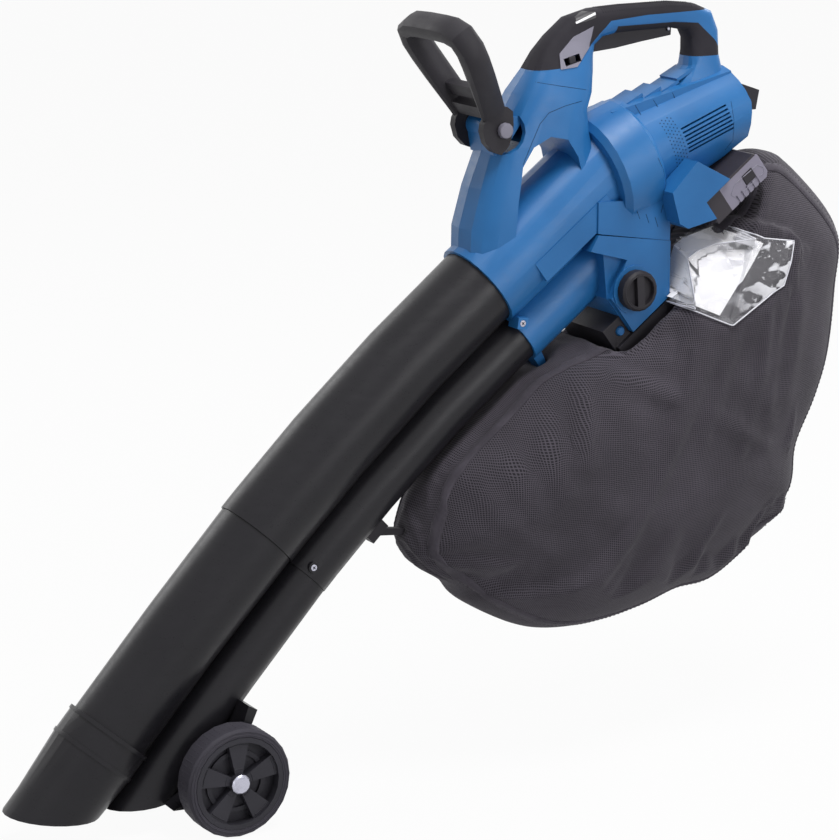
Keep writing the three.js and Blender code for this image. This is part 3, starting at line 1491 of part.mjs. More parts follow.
function impeller() {
  const disc = ringBody(fanRadius, shaftRadius + clearance, fanBack - fanDisc, fanBack,
    mediumSides);
  const hub = ringBody(fanHubRadius, shaftRadius + clearance, shaftFront, fanBack,
    smallSides);
  const blade = frameBox(motorFrame, [fanFront, fanBack - fanDisc / 2],
    [fanEyeRadius / 2, fanRadius - fanDisc], [-fanBladeThickness / 2, fanBladeThickness / 2]);
  const eyeCone = turned(motorFrame, [
    [0, 0], [0, fanEyeRadius + fanHubRadius], [fanFront + fanHubRadius, fanHubRadius - fanDisc],
    [fanFront + fanHubRadius, 0],
  ], smallSides);
  const axis = new THREE.Vector3(motorFrame.cos, 0, motorFrame.sin);
  const origin = new THREE.Vector3(motorFrame.x, 0, motorFrame.z);
  const bladeGeometry = toGeometry(cut(blade, eyeCone));
  const blades = Array.from({ length: fanBlades }, (_, i) => {
    const copy = bladeGeometry.clone();
    copy.translate(-origin.x, 0, -origin.z);
    copy.applyMatrix4(new THREE.Matrix4().makeRotationAxis(axis, ((i + 0.5) * circle) / fanBlades));
    copy.translate(origin.x, 0, origin.z);
    return toSolid(copy);
  });
  return join(disc, hub, ...blades);
}

function motorCan() {
  const end = canFront + canLength;
  const rearSeat = bearingRadius + clearance;
  return turned(motorFrame, [
    [canFront, shaftRadius + runningGap], [canFront, canRadius], [end, canRadius],
    [end, rearSeat], [end - plateThickness, rearSeat],
    [end - plateThickness, shaftRadius + runningGap], [canFront, shaftRadius + runningGap],
  ], mediumSides);
}

function controlBoard() {
  const board = turned(motorFrame, [
    [boardAlong, 0], [boardAlong, boardRadius], [boardAlong + boardThickness, boardRadius],
    [boardAlong + boardThickness, 0],
  ], mediumSides);
  const half = boardRadius / 3;
  const chip = frameBox(motorFrame, [boardAlong, boardAlong + chipHeight], [-half, half / 2],
    [-half, half]);
  const capacitor = frameBox(motorFrame, [boardAlong, boardAlong + chipHeight * 2],
    [half, half * 2], [-half / 2, half / 2]);
  return join(board, chip, capacitor);
}

const shell = cut(join(housingOuter(0), ductPanels()), housingHollow(), handleHollow());
const housingScrewSeats = housingScrewPlaces.map((place) => housingScrewSeat(place));
const bailBoltHole = crossBar(bailPivot, bailBoltRadius + clearance, -bailBoltReach,
  bailBoltReach);
const housing = cut(join(shell, screwPosts()), tubePlugRoom(), ...vents(), ...handleCut(),
  ...housingScrewSeats, bailBoltHole);
const { left: housingLeft, right: housingRight } = halves(housing);
addNode('housing_left', housingLeft, blueShell);
addNode('housing_right', housingRight, blueShell);
housingScrewPlaces.forEach((place, i) => {
  addNode(`housing_screw_${i + 1}`, screw(place, 1, housingScrewFace, housingScrewLength),
    brightSteel);
});
const { left: outletLeft, right: outletRight } = halves(outletHousing());
addNode('outlet_left', outletLeft, blueShell);
addNode('outlet_right', outletRight, blueShell);
addNode('grip_cover', gripCover(), softGrip);
addNode('grip_pad', gripPad(), softGrip);
addNode('head_panel', headPanel(), packPlastic);
addNode('light_strip', lightStrip(), whiteLens);
addNode('trigger', trigger(), blackPlastic);
addNode('trigger_pin', crossBar(triggerPivot, triggerPinRadius, -triggerPinReach,
  triggerPinReach, tinySides), brightSteel);
addNode('trigger_switch', triggerSwitch(), blackPlastic);
addNode('speed_slider', speedSlider(), blackPlastic);
addNode('bail_handle', bailHandle(), blackPlastic);
addNode('bail_bolt', crossBar(bailPivot, bailBoltRadius, -bailBoltReach, bailBoltReach),
  brightSteel);
addNode('selector_knob', selectorKnob(), blackPlastic);
addNode('selector_flap', selectorFlap(), blackPlastic);
addNode('bag_collar', bagCollarBody(), blackPlastic);
addNode('bag_latch_button', latchButton(), blueShell);
addNode('collection_bag', bag, meshFabric);
addNode('bag_hanger', bagHanger(), blackPlastic);
addNode('bag_front_clip', frontClip(), blackPlastic);
addNode('document_pouch', cut(pouch(), ...bagClears), clearFilm);
addNode('pouch_card', cut(bagPatch(pouchShares, clearance, clearance + cardThickness,
  pouchSeam + runningGap), ...bagClears), paperCard);
for (const [name, side] of [['left', -1], ['right', 1]]) {
  addNode(`bail_cap_${name}`, bailCap(side), packPlastic);
  addNode(`battery_dock_${name}`, batteryDock(side), blueShell);
  addNode(`battery_pack_${name}`, batteryPack(side), packPlastic);
  addNode(`pack_release_${name}`, packRelease(side), blackPlastic);
  addNode(`dock_contact_${name}`, dockContact(side), blackPlastic);
  addNode(`collar_screw_${name}`, screw(outletPoint(collarScrewShares), side,
    collarBossFace), brightSteel);
}
addNode('impeller', impeller(), fanPlastic);
addNode('motor_shaft', turned(motorFrame, [[shaftFront, 0], [shaftFront, shaftRadius],
  [shaftRear, shaftRadius], [shaftRear, 0]], smallSides), brightSteel);
addNode('motor_plate', ringBody(motorBayRadius - clearance, bearingRadius + clearance,
  plateFront, plateFront + plateThickness), motorSteel);
addNode('bearing_front', ringBody(bearingRadius, shaftRadius + clearance, plateFront,
  plateFront + plateThickness, smallSides), brightSteel);
addNode('motor_can', motorCan(), motorSteel);
addNode('bearing_rear', ringBody(bearingRadius, shaftRadius + clearance,
  canFront + canLength - plateThickness + clearance, canFront + canLength, smallSides),
brightSteel);
addNode('control_board', controlBoard(), circuitBoard);

export default group;
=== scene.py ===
"""The looks of a walk behind leaf blower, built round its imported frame.

Lengths are metres. -X is the front, +X the rear, -Y the machine's left side and +Z is up.
"""

import logging
import math
from dataclasses import dataclass, field
from enum import Enum

import bmesh
import bpy
import numpy as np
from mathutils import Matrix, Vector, noise
from mathutils.bvhtree import BVHTree
from mathutils.geometry import barycentric_transform


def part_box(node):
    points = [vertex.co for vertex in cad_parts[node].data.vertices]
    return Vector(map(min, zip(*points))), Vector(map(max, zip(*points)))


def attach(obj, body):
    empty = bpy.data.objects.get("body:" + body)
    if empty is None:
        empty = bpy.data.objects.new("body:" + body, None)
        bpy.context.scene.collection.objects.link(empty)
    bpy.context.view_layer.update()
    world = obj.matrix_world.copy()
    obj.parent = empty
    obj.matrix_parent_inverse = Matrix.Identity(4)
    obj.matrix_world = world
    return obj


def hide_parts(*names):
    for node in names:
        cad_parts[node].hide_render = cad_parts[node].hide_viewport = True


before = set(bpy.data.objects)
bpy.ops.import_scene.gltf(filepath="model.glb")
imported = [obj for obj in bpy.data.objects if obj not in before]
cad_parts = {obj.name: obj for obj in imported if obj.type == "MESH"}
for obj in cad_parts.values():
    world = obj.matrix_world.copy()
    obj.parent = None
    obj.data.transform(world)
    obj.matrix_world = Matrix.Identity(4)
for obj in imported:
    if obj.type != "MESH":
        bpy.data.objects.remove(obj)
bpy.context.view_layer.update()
FINISH_NAME = "{}_finish"
MM = 0.001
SIDES = ((-1, "left"), (1, "right"))
WAYS = ("out", "along")
BAG_CENTRE = (590 * MM, 400 * MM)
BAG_LENGTH = 656 * MM
BAG_HEIGHT = 600 * MM
NEARLY_NOTHING = 1e-6
HOUSING_SCREWS = tuple(f"housing_screw_{number}" for number in range(1, 6))
Pair = tuple[float, float]
Triple = tuple[float, float, float]
log = logging.getLogger("leaf_blower")


@dataclass(frozen=True)
class Colour:
    """A colour as it is seen, in bytes of red, green and blue."""

    red: int
    green: int
    blue: int

    def linear(self, factor: float = 1.0, lift: float = 0.0) -> tuple[float, ...]:
        """Gives the colour as the linear values that a shader takes.

        Args:
            factor: what each value is multiplied by.
            lift: what is then added to it.

        Returns:
            Red, green, blue and a full alpha.
        """
        shares = [byte / 255 for byte in (self.red, self.green, self.blue)]
        # The curve and its constants are those of the sRGB standard.
        light = [s / 12.92 if s <= 0.04045 else ((s + 0.055) / 1.055) ** 2.4 for s in shares]
        return (*(min(1.0, channel * factor + lift) for channel in light), 1.0)


class Shader:
    """A node material that is being put together."""

    def __init__(self, name: str) -> None:
        """Starts a material with one Principled shader.

        Args:
            name: the finish's name.
        """
        self.material = bpy.data.materials.new(FINISH_NAME.format(name))
        self.material.use_nodes = True
        self.tree = self.material.node_tree
        self.surface = self.tree.nodes["Principled BSDF"]
        coordinates = self.tree.nodes.new("ShaderNodeTexCoord")
        self.place = coordinates.outputs["Object"]
        self.flat = coordinates.outputs["UV"]

    def put(self, **values: object) -> None:
        """Sets plain values on the shader's own sockets, by socket name."""
        for name, value in values.items():
            self.surface.inputs[name.replace("_", " ")].default_value = value

    def link(self, output: bpy.types.NodeSocket, name: str) -> None:
        """Links an output to one of the shader's sockets."""
        self.tree.links.new(output, self.surface.inputs[name])

    def node(self, kind: str, inputs: dict, **settings: str) -> bpy.types.Node:
        """Adds a node.

        Args:
            kind: Blender's name of the node, after its prefix.
            inputs: a socket or a plain value for each input, by name or number.
            settings: the node's own settings.

        Returns:
            The node.
        """
        node = self.tree.nodes.new("ShaderNode" + kind)
        for name, value in settings.items():
            setattr(node, name, value)
        for name, value in inputs.items():
            if isinstance(value, bpy.types.NodeSocket):
                self.tree.links.new(value, node.inputs[name])
            else:
                node.inputs[name].default_value = value
        return node

    def noise(self, scale: float, detail: float = 4.0, rough: float = 0.55,
              place: bpy.types.NodeSocket | None = None) -> bpy.types.NodeSocket:
        """Adds a noise pattern.

        Args:
            scale: cells to the metre.
            detail: octaves.
            rough: how strong each finer octave is.
            place: the coordinates, the object's own by default.

        Returns:
            The pattern, from 0 to 1.
        """
        node = self.node("TexNoise", {"Vector": place or self.place, "Scale": scale,
                                      "Detail": detail, "Roughness": rough})
        return node.outputs["Fac"]

    def stretched(self, scales: Triple) -> bpy.types.NodeSocket:
        """Gives the object's coordinates, scaled along each axis."""
        return self.node("Mapping", {"Vector": self.place, "Scale": scales}).outputs["Vector"]

    def apart(self, place: bpy.types.NodeSocket) -> list[bpy.types.NodeSocket]:
        """Gives a place's three parts."""
        return list(self.node("SeparateXYZ", {0: place}).outputs)

    def math(self, operation: str, first: object, second: object = 0.0,
             third: object = 0.0) -> bpy.types.NodeSocket:
        """Adds one sum and gives its result."""
        values = dict(enumerate((first, second, third)))
        return self.node("Math", values, operation=operation).outputs[0]

    def range(self, value: bpy.types.NodeSocket, low: float, high: float,
              to_low: float = 0.0, to_high: float = 1.0) -> bpy.types.NodeSocket:
        """Maps a value from one range to another and clamps it."""
        return self.node("MapRange", {"Value": value, "From Min": low, "From Max": high,
                                      "To Min": to_low, "To Max": to_high}).outputs["Result"]

    def blend(self, share: object, first: object, second: object) -> bpy.types.NodeSocket:
        """Mixes two colours by a share and gives the result."""
        # The Mix node's sockets share their names, so its colour ones go by number.
        return self.node("Mix", {0: share, 6: first, 7: second}, data_type="RGBA").outputs[2]

    def bump(self, height: bpy.types.NodeSocket, depth: float, strength: float = 1.0) -> None:
        """Raises the surface by a pattern.

        Args:
            height: the pattern, from 0 to 1.
            depth: the height of a full step, in metres.
            strength: how much of it shows.
        """
        node = self.node("Bump", {"Height": height, "Distance": depth, "Strength": strength})
        self.link(node.outputs["Normal"], "Normal")


@dataclass(frozen=True)
class Inlay:
    """A patch of another colour, bounded along and across a slope seen from the side."""

    colour: Colour
    middle: Pair
    slope: float
    along: Pair
    across: Pair
    aside: Pair

    def share(self, shader: Shader) -> bpy.types.NodeSocket:
        """Marks the patch on both sides of the machine.

        Args:
            shader: the material that wears the patch.

        Returns:
            1 inside the patch and 0 outside it.
        """
        x, y, z = shader.apart(shader.place)
        x = shader.math("SUBTRACT", x, self.middle[0])
        z = shader.math("SUBTRACT", z, self.middle[1])
        turn = math.radians(self.slope)
        lengths = (
            (shader.math("MULTIPLY_ADD", x, math.cos(turn),
                         shader.math("MULTIPLY", z, math.sin(turn))), self.along),
            (shader.math("MULTIPLY_ADD", z, math.cos(turn),
                         shader.math("MULTIPLY", x, -math.sin(turn))), self.across),
            (shader.math("ABSOLUTE", y), self.aside),
        )
        inside = 1.0
        for length, (low, high) in lengths:
            for operation, limit in (("GREATER_THAN", low), ("LESS_THAN", high)):
                inside = shader.math("MULTIPLY", inside, shader.math(operation, length, limit))
        return inside


@dataclass(frozen=True)
class Moulded:
    """Moulded plastic with an eroded grain, faint flow clouds and dusty scuffs."""

    name: str
    colour: Colour
    shade: Colour
    roughness: float = 0.45
    grain: float = 1.1 * MM
    depth: float = 0.03 * MM
    scuff: float = 0.12
    specular: float = 0.5
    inlay: Inlay | None = None
    cloud_cells: float = 9.0
    rub_cells: float = 55.0
    rub_stretch: Triple = (1.0, 0.6, 2.2)

    def material(self) -> bpy.types.Material:
        """Builds the finish's material.

        Returns:
            The material.
        """
        shader = Shader(self.name)
        clouds = shader.noise(self.cloud_cells, 3.0)
        grain = shader.noise(1 / self.grain, 2.0, 0.6)
        rubs = shader.noise(self.rub_cells, 6.0, 0.7, shader.stretched(self.rub_stretch))
        body = shader.blend(shader.range(clouds, 0.35, 0.7), self.colour.linear(),
                            self.shade.linear())
        # An inlay is a second colour: the pack case's real two tones, the lens's white strip, and
        # on the shell the painted shade of the slider's slot.
        if self.inlay:
            body = shader.blend(self.inlay.share(shader), body, self.inlay.colour.linear())
        worn = shader.math("MULTIPLY", shader.range(rubs, 0.56, 0.72), self.scuff)
        shader.link(shader.blend(worn, body, self.colour.linear(1.25, 0.02)), "Base Color")
        rough = shader.math("ADD", shader.range(grain, 0.3, 0.7, -0.05, 0.05),
                            shader.range(rubs, 0.4, 0.7, self.roughness, self.roughness + 0.1))
        shader.link(rough, "Roughness")
        shader.put(Specular_IOR_Level=self.specular)
        shader.bump(grain, self.depth, 0.6)
        return shader.material


@dataclass(frozen=True)
class Steel:
    """Bright turned steel with fine machining lines and tarnish."""

    name: str
    colour: Colour
    roughness: float = 0.28
    lines: float = 0.4 * MM
    depth: float = 0.01 * MM
    cloud_cells: float = 60.0

    def material(self) -> bpy.types.Material:
        """Builds the finish's material.

        Returns:
            The material.
        """
        shader = Shader(self.name)
        lines = shader.noise(1 / self.lines, 2.0, 0.5, shader.stretched((0.1, 1.0, 1.0)))
        clouds = shader.noise(self.cloud_cells)
        shader.link(shader.blend(shader.range(clouds, 0.5, 0.8), self.colour.linear(),
                                 self.colour.linear(0.6)), "Base Color")
        shader.link(shader.range(lines, 0.3, 0.7, self.roughness - 0.06, self.roughness + 0.12),
                    "Roughness")
        shader.put(Metallic=1.0)
        shader.bump(lines, self.depth, 0.4)
        return shader.material


@dataclass(frozen=True)
class Netting:
    """Dark knitted mesh cloth: pale threads crossing over open holes that are painted near black,
    as painted shade of the bag's inside.
    """

    name: str
    thread: Colour
    hole: Colour
    pitch: float = 2.4 * MM
    depth: float = 0.35 * MM
    roughness: float = 0.8
    waver: float = 2.4
    waver_cells: float = 28.0
    worn_cells: float = 14.0

    def material(self) -> bpy.types.Material:
        """Builds the finish's material, on the piece's own UV map in metres.

        Returns:
            The material.
        """
        shader = Shader(self.name)
        waver = shader.noise(self.waver_cells, 2.0)
        threads = []
        for axis in shader.apart(shader.flat)[:2]:
            turns = shader.math("MULTIPLY_ADD", axis, math.tau / self.pitch,
                                shader.math("MULTIPLY", waver, self.waver))
            threads.append(shader.range(shader.math("SINE", turns), -0.1, 0.8))
        net = shader.math("MAXIMUM", *threads)
        knots = shader.math("MULTIPLY", *threads)
        worn = shader.noise(self.worn_cells, 5.0)
        dusty = self.thread.linear(1.45)
        cloth = shader.blend(shader.range(worn, 0.42, 0.75), self.thread.linear(), dusty)
        knotted = shader.blend(shader.math("MULTIPLY", knots, 0.5), cloth, dusty)
        # The holes take a near black colour: painted shade of the bag's inside seen through the
        # mesh.
        shader.link(shader.blend(net, self.hole.linear(), knotted), "Base Color")
        shader.link(shader.range(net, 0, 1, self.roughness + 0.1, self.roughness), "Roughness")
        shader.put(Sheen_Weight=0.08, Sheen_Roughness=0.5, Specular_IOR_Level=0.2)
        shader.bump(net, self.depth, 0.7)
        return shader.material


@dataclass(frozen=True)
class Tape:
    """Woven binding tape with fine ribs across it."""

    name: str
    colour: Colour
    # The colour painted in the troughs between the ribs: painted shade.
    shade: Colour
    rib: float = 0.9 * MM
    depth: float = 0.2 * MM
    fuzz_cells: float = 700.0
    worn_cells: float = 30.0

    def material(self) -> bpy.types.Material:
        """Builds the finish's material, on the piece's own UV map in metres.

        Returns:
            The material.
        """
        shader = Shader(self.name)
        run = shader.apart(shader.flat)[0]
        turns = shader.math("MULTIPLY", run, math.tau / self.rib)
        ribs = shader.range(shader.math("SINE", turns), -1.0, 1.0)
        fuzz = shader.noise(self.fuzz_cells, 3.0)
        rubs = shader.range(shader.noise(self.worn_cells, 4.0), 0.4, 0.75)
        # The rib troughs take the shade colour, a painted shade, and the crests take the tape's
        # colour.
        cloth = shader.blend(ribs, self.shade.linear(), self.colour.linear())
        shader.link(shader.blend(shader.math("MULTIPLY", rubs, 0.5), cloth,
                                 self.colour.linear(1.7)), "Base Color")
        shader.link(shader.range(fuzz, 0.3, 0.7, 0.75, 0.95), "Roughness")
        shader.put(Sheen_Weight=0.15, Sheen_Roughness=0.4, Specular_IOR_Level=0.2)
        shader.bump(ribs, self.depth, 0.6)
        return shader.material


@dataclass(frozen=True)
class Film:
    """Clear creased film with painted white glare along its creases: whitish opaque patches stand
    for the lamps' reflections.
    """

    name: str
    colour: Colour
    clearness: float = 0.95
    loose_from: float = 0.67
    loose_over: float = 0.05
    crease_cells: float = 26.0
    streak_cells: float = 120.0
    depth: float = 1.6 * MM

    def material(self) -> bpy.types.Material:
        """Builds the finish's material.

        Returns:
            The material.
        """
        shader = Shader(self.name)
        creases = shader.noise(self.crease_cells, 2.0, 0.5, shader.stretched((1.0, 0.4, 1.9)))
        fine = shader.noise(self.streak_cells, 3.0, 0.6, shader.stretched((1.0, 0.4, 1.5)))
        loose = shader.range(shader.apart(shader.place)[0], self.loose_from,
                             self.loose_from + self.loose_over, 0.12, 1.0)
        # Along the creases the film turns opaque and whitish, mostly at its loose rear end:
        # painted glare.
        painted_glare = shader.math("MULTIPLY_ADD", shader.range(creases, 0.5, 0.55, 0.0, 0.8), loose,
                            1 - self.clearness)
        painted_glints = shader.math("MULTIPLY", shader.range(fine, 0.6, 0.68, 0.0, 0.5), loose)
        # Fine streaks lighten the film's colour: painted sheen.
        shader.link(shader.blend(fine, self.colour.linear(), (0.9, 0.9, 0.94, 1)), "Base Color")
        shader.link(shader.math("MAXIMUM", painted_glare, painted_glints), "Alpha")
        shader.link(shader.range(fine, 0.3, 0.7, 0.05, 0.16), "Roughness")
        shader.put(Coat_Weight=0.5, Coat_Roughness=0.05)
        shader.bump(creases, self.depth, 0.7)
        return shader.material


@dataclass(frozen=True)
class Card:
    """Plain white card with a faint fibre, and dark mesh past the end of the card."""

    name: str
    colour: Colour
    past: Inlay
    fibre_cells: float = 900.0
    cloud_cells: float = 20.0
    depth: float = 0.02 * MM

    def material(self) -> bpy.types.Material:
        """Builds the finish's material.

        Returns:
            The material.
        """
        shader = Shader(self.name)
        fibre = shader.noise(self.fibre_cells, 3.0)
        clouds = shader.noise(self.cloud_cells, 2.0)
        body = shader.blend(shader.range(clouds, 0.4, 0.7), self.colour.linear(),
                            self.colour.linear(0.93))
        shader.link(shader.blend(self.past.share(shader), body, self.past.colour.linear()),
                    "Base Color")
        shader.put(Roughness=0.55)
        shader.bump(fibre, self.depth, 0.4)
        return shader.material


class Finish(Enum):
    """Every finish of the machine, named by what wears it."""

    SHELL = Moulded("blue_shell", Colour(40, 108, 169), Colour(32, 97, 155), 0.34,
                    specular=0.34, scuff=0.06,
                    # The inlay paints the speed slider's slot near black: painted shade of the
                    # slot's recess.
                    inlay=Inlay(Colour(30, 28, 32), (487.5 * MM, 866 * MM), 12.33,
                                (-14 * MM, 14 * MM), (-6.5 * MM, 6.5 * MM),
                                (12 * MM, 24.3 * MM)))
    # Dark blue for the shell's part lines, and for the intake dots, where it is painted shade of
    # the intake's holes.
    LINE = Moulded("shell_line", Colour(22, 60, 96), Colour(17, 50, 84), 0.55, specular=0.2,
                   scuff=0.04)
    # Near black for the bars on the screw heads: painted shade of their cross slots.
    LINE_DARK = Moulded("screw_slot", Colour(40, 40, 46), Colour(30, 30, 35), 0.6,
                        specular=0.2, scuff=0.05)
    TUBE = Moulded("black_tube", Colour(34, 33, 37), Colour(29, 28, 32), 0.3, 0.9 * MM,
                   specular=0.25, scuff=0.05)
    PLASTIC = Moulded("black_plastic", Colour(44, 42, 47), Colour(37, 35, 40), 0.5,
                      specular=0.25, scuff=0.1)
    GRIP = Moulded("soft_grip", Colour(46, 44, 50), Colour(38, 36, 41), 0.72, 0.7 * MM,
                   specular=0.2, scuff=0.12)
    TYRE = Moulded("tyre_rubber", Colour(64, 62, 70), Colour(54, 52, 60), 0.66, 1.4 * MM,
                   specular=0.25, scuff=0.2)
    WHEEL = Moulded("wheel_plastic", Colour(52, 51, 58), Colour(43, 42, 48), 0.5,
                    specular=0.25, scuff=0.12)
    # Light grey pack plastic, also laid on the head panel as a painted highlight.
    PACK = Moulded("pack_plastic", Colour(134, 132, 147), Colour(120, 118, 132), 0.42,
                   specular=0.4)
    PACK_CASE = Moulded("pack_case", Colour(56, 52, 58), Colour(46, 43, 49), 0.5,
                        specular=0.3,
                        inlay=Inlay(Colour(134, 130, 146), (373 * MM, 599 * MM), 37.0,
                                    (296 * MM, 400 * MM), (-130 * MM, -93 * MM),
                                    (79.5 * MM, 90 * MM)))
    FAN = Moulded("fan_plastic", Colour(32, 32, 35), Colour(28, 28, 31), 0.5, specular=0.25)
    BOARD = Moulded("circuit_board", Colour(30, 104, 58), Colour(26, 92, 50), 0.5)
    LENS = Moulded("white_lens", Colour(48, 46, 51), Colour(40, 38, 43), 0.3, scuff=0.02,
                   inlay=Inlay(Colour(240, 240, 244), (512.5 * MM, 913.3 * MM), 18.8,
                               (-15.5 * MM, 15.5 * MM), (-1.25 * MM, 1.25 * MM),
                               (0.0, 20 * MM)))
    STEEL = Steel("bright_steel", Colour(188, 188, 202))
    MOTOR = Steel("motor_steel", Colour(140, 142, 148), 0.4)
    NET = Netting("mesh_fabric", Colour(72, 68, 76), Colour(34, 32, 37))
    TAPE = Tape("binding_tape", Colour(74, 70, 78), Colour(56, 53, 60))
    THREAD = Moulded("sewing_thread", Colour(88, 84, 92), Colour(70, 66, 74), 0.8,
                     0.4 * MM, specular=0.15, scuff=0.1)
    # The film's whitish colour shows only where its glare and glints are painted.
    FILM = Film("clear_film", Colour(226, 226, 234))
    SEAL = Moulded("film_seal", Colour(222, 222, 230), Colour(204, 204, 214), 0.25,
                   scuff=0.3)
    CARD = Card("paper_card", Colour(250, 249, 252),
                Inlay(Colour(52, 49, 55), (654.0 * MM, 554.2 * MM), 51.0,
                      (-300 * MM, 300 * MM), (-300 * MM, 0.0), (0.0, 200 * MM)))

    def material(self) -> bpy.types.Material:
        """Gives the finish's material, built once."""
        found = bpy.data.materials.get(FINISH_NAME.format(self.value.name))
        return found or self.value.material()

    def slot(self) -> str:
        """Gives the record's material slot that the finish belongs to.

        Returns:
            The slot's name.
        """
        shared = {"LINE": "blue_shell", "LINE_DARK": "bright_steel", "TAPE": "mesh_fabric",
                  "THREAD": "mesh_fabric", "SEAL": "clear_film",
                  "PACK_CASE": "pack_plastic"}
        return shared.get(self.name, self.value.name)


def both(*nodes: str) -> tuple[str, ...]:
    """Gives the names of each node's left and right one."""
    return tuple(f"{node}_{name}" for node in nodes for _, name in SIDES)


def box(node: str) -> tuple[Vector, Vector]:
    """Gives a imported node's lowest and highest corners at rest."""
    low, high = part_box(node)
    return Vector(low), Vector(high)


def paint(piece: bpy.types.Object, finish: Finish) -> None:
    """Gives a whole piece one finish."""
    piece.data.materials.clear()
    piece.data.materials.append(finish.material())


def raw_object(name: str, points: list, edges: list, faces: list) -> bpy.types.Object:
    """Makes an object in place and links it to the scene.

    Args:
        name: the object's name.
        points: its points, in metres.
        edges: its loose edges, as pairs of indices.
        faces: its faces, as indices.

    Returns:
        The new object.
    """
    mesh = bpy.data.meshes.new(name)
    mesh.from_pydata([tuple(point) for point in points], edges, faces)
    mesh.validate()
    mesh.shade_smooth()
    piece = bpy.data.objects.new(name, mesh)
    bpy.context.scene.collection.objects.link(piece)
    return piece


def settle(piece: bpy.types.Object) -> None:
    """Turns an object's modifiers into a plain mesh and takes them off.

    Args:
        piece: the object.
    """
    bpy.context.view_layer.update()
    seen = piece.evaluated_get(bpy.context.evaluated_depsgraph_get())
    done = bpy.data.meshes.new_from_object(seen)
    piece.modifiers.clear()
    piece.data = done


def mend_normals(piece: bpy.types.Object) -> None:
    """Turns all the faces of a piece outwards.

    Args:
        piece: the piece.
    """
    work = bmesh.new()
    work.from_mesh(piece.data)
    bmesh.ops.recalc_face_normals(work, faces=work.faces)
    work.to_mesh(piece.data)
    work.free()
    piece.data.update()


def enrol(piece: bpy.types.Object, body: str, finish: Finish) -> None:
    """Gives a piece its finish and the body that it rides on.

    Args:
        piece: the piece.
        body: the body.
        finish: its finish, put on where it has no material yet.
    """
    if not piece.data.materials:
        paint(piece, finish)
    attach(piece, body)
    log.info("made %s", piece.name)


def closed_strip(rows: int, count: int) -> list[tuple[int, int, int, int]]:
    """Joins rows of points, each row a closed ring, with faces.

    Args:
        rows: how many rows there are.
        count: how many points each row has.

    Returns:
        The faces, as indices.
    """
    return [(row * count + index, row * count + (index + 1) % count,
             (row + 1) * count + (index + 1) % count, (row + 1) * count + index)
            for row in range(rows - 1) for index in range(count)]


def geometry_tree(name: str, *sizes: str) -> tuple:
    """Starts a geometry node tree.

    Args:
        name: the tree's name.
        sizes: the names of its inputs for sizes.

    Returns:
        The tree, the node of its inputs and the node of its output.
    """
    tree = bpy.data.node_groups.new(name, "GeometryNodeTree")
    tree.interface.new_socket("Geometry", in_out="INPUT", socket_type="NodeSocketGeometry")
    for size in sizes:
        tree.interface.new_socket(size, in_out="INPUT", socket_type="NodeSocketFloat")
    tree.interface.new_socket("Geometry", in_out="OUTPUT", socket_type="NodeSocketGeometry")
    return tree, tree.nodes.new("NodeGroupInput"), tree.nodes.new("NodeGroupOutput")


def chain(tree: bpy.types.NodeTree, *nodes: bpy.types.Node) -> None:
    """Links each node's first output to the first input of the next node."""
    for first, second in zip(nodes, nodes[1:]):
        tree.links.new(first.outputs[0], second.inputs[0])


def grow(piece: bpy.types.Object, tree: bpy.types.NodeTree, sizes: dict[str, float]) -> None:
    """Runs a geometry node tree on a piece and keeps the plain mesh.

    Args:
        piece: the piece.
        tree: the tree.
        sizes: the values of its inputs, by name.
    """
    growing = piece.modifiers.new(piece.name, "NODES")
    growing.node_group = tree
    for item in tree.interface.items_tree:
        if item.in_out == "INPUT" and item.name in sizes:
            growing[item.identifier] = sizes[item.name]
    settle(piece)


@dataclass
class RoundedShell:
    """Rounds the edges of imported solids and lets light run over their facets."""

    weld: float = 0.02 * MM
    crease: float = math.radians(32)
    segments: int = 2
    tree: bpy.types.NodeTree = field(init=False)

    def __post_init__(self) -> None:
        """Builds the tree that welds a mesh and shades it smooth."""
        self.tree, start, end = geometry_tree("welded_shell")
        merge = self.tree.nodes.new("GeometryNodeMergeByDistance")
        merge.inputs["Distance"].default_value = self.weld
        shade = self.tree.nodes.new("GeometryNodeSetShadeSmooth")
        chain(self.tree, start, merge, shade, end)

    def dress(self, node: str, finish: Finish, edge: float) -> None:
        """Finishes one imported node.

        Args:
            node: the node's name.
            finish: what it is made of.
            edge: the radius of its rounded edges.
        """
        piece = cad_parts[node]
        paint(piece, finish)
        welded = piece.modifiers.new("welded", "NODES")
        welded.node_group = self.tree
        rounded = piece.modifiers.new("rounded", "BEVEL")
        rounded.width = edge
        rounded.segments = self.segments
        rounded.limit_method = "ANGLE"
        rounded.angle_limit = self.crease
        rounded.miter_outer = "MITER_ARC"
        even = piece.modifiers.new("even", "WEIGHTED_NORMAL")
        even.keep_sharp = False
        log.info("dressed %s", node)


class Surface:
    """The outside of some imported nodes, for laying things on it."""

    def __init__(self, *nodes: str, shifts: tuple[Triple, ...] = ((0.0, 0.0, 0.0),)) -> None:
        """Gathers the nodes' triangles.

        Args:
            nodes: the nodes' names.
            shifts: how far each is moved, once for every shift, in metres.
        """
        points, faces = [], []
        for node in nodes:
            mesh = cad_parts[node].data
            for shift in shifts:
                first = len(points)
                points.extend(vertex.co + Vector(shift) for vertex in mesh.vertices)
                faces.extend([first + index for index in face.vertices]
                             for face in mesh.polygons)
        self.tree = BVHTree.FromPolygons(points, faces)

    def hit(self, start: Vector, way: Vector,
            reach: float = 10.0) -> tuple[Vector, Vector] | None:
        """Finds where a ray first meets the surface.

        Args:
            start: where the ray starts.
            way: its direction.
            reach: how far it goes.

        Returns:
            The place and the surface's direction there, or None.
        """
        place, normal, _, _ = self.tree.ray_cast(start, way, reach)
        if place is None:
            return None
        return place, (normal if normal.dot(way) < 0 else -normal)


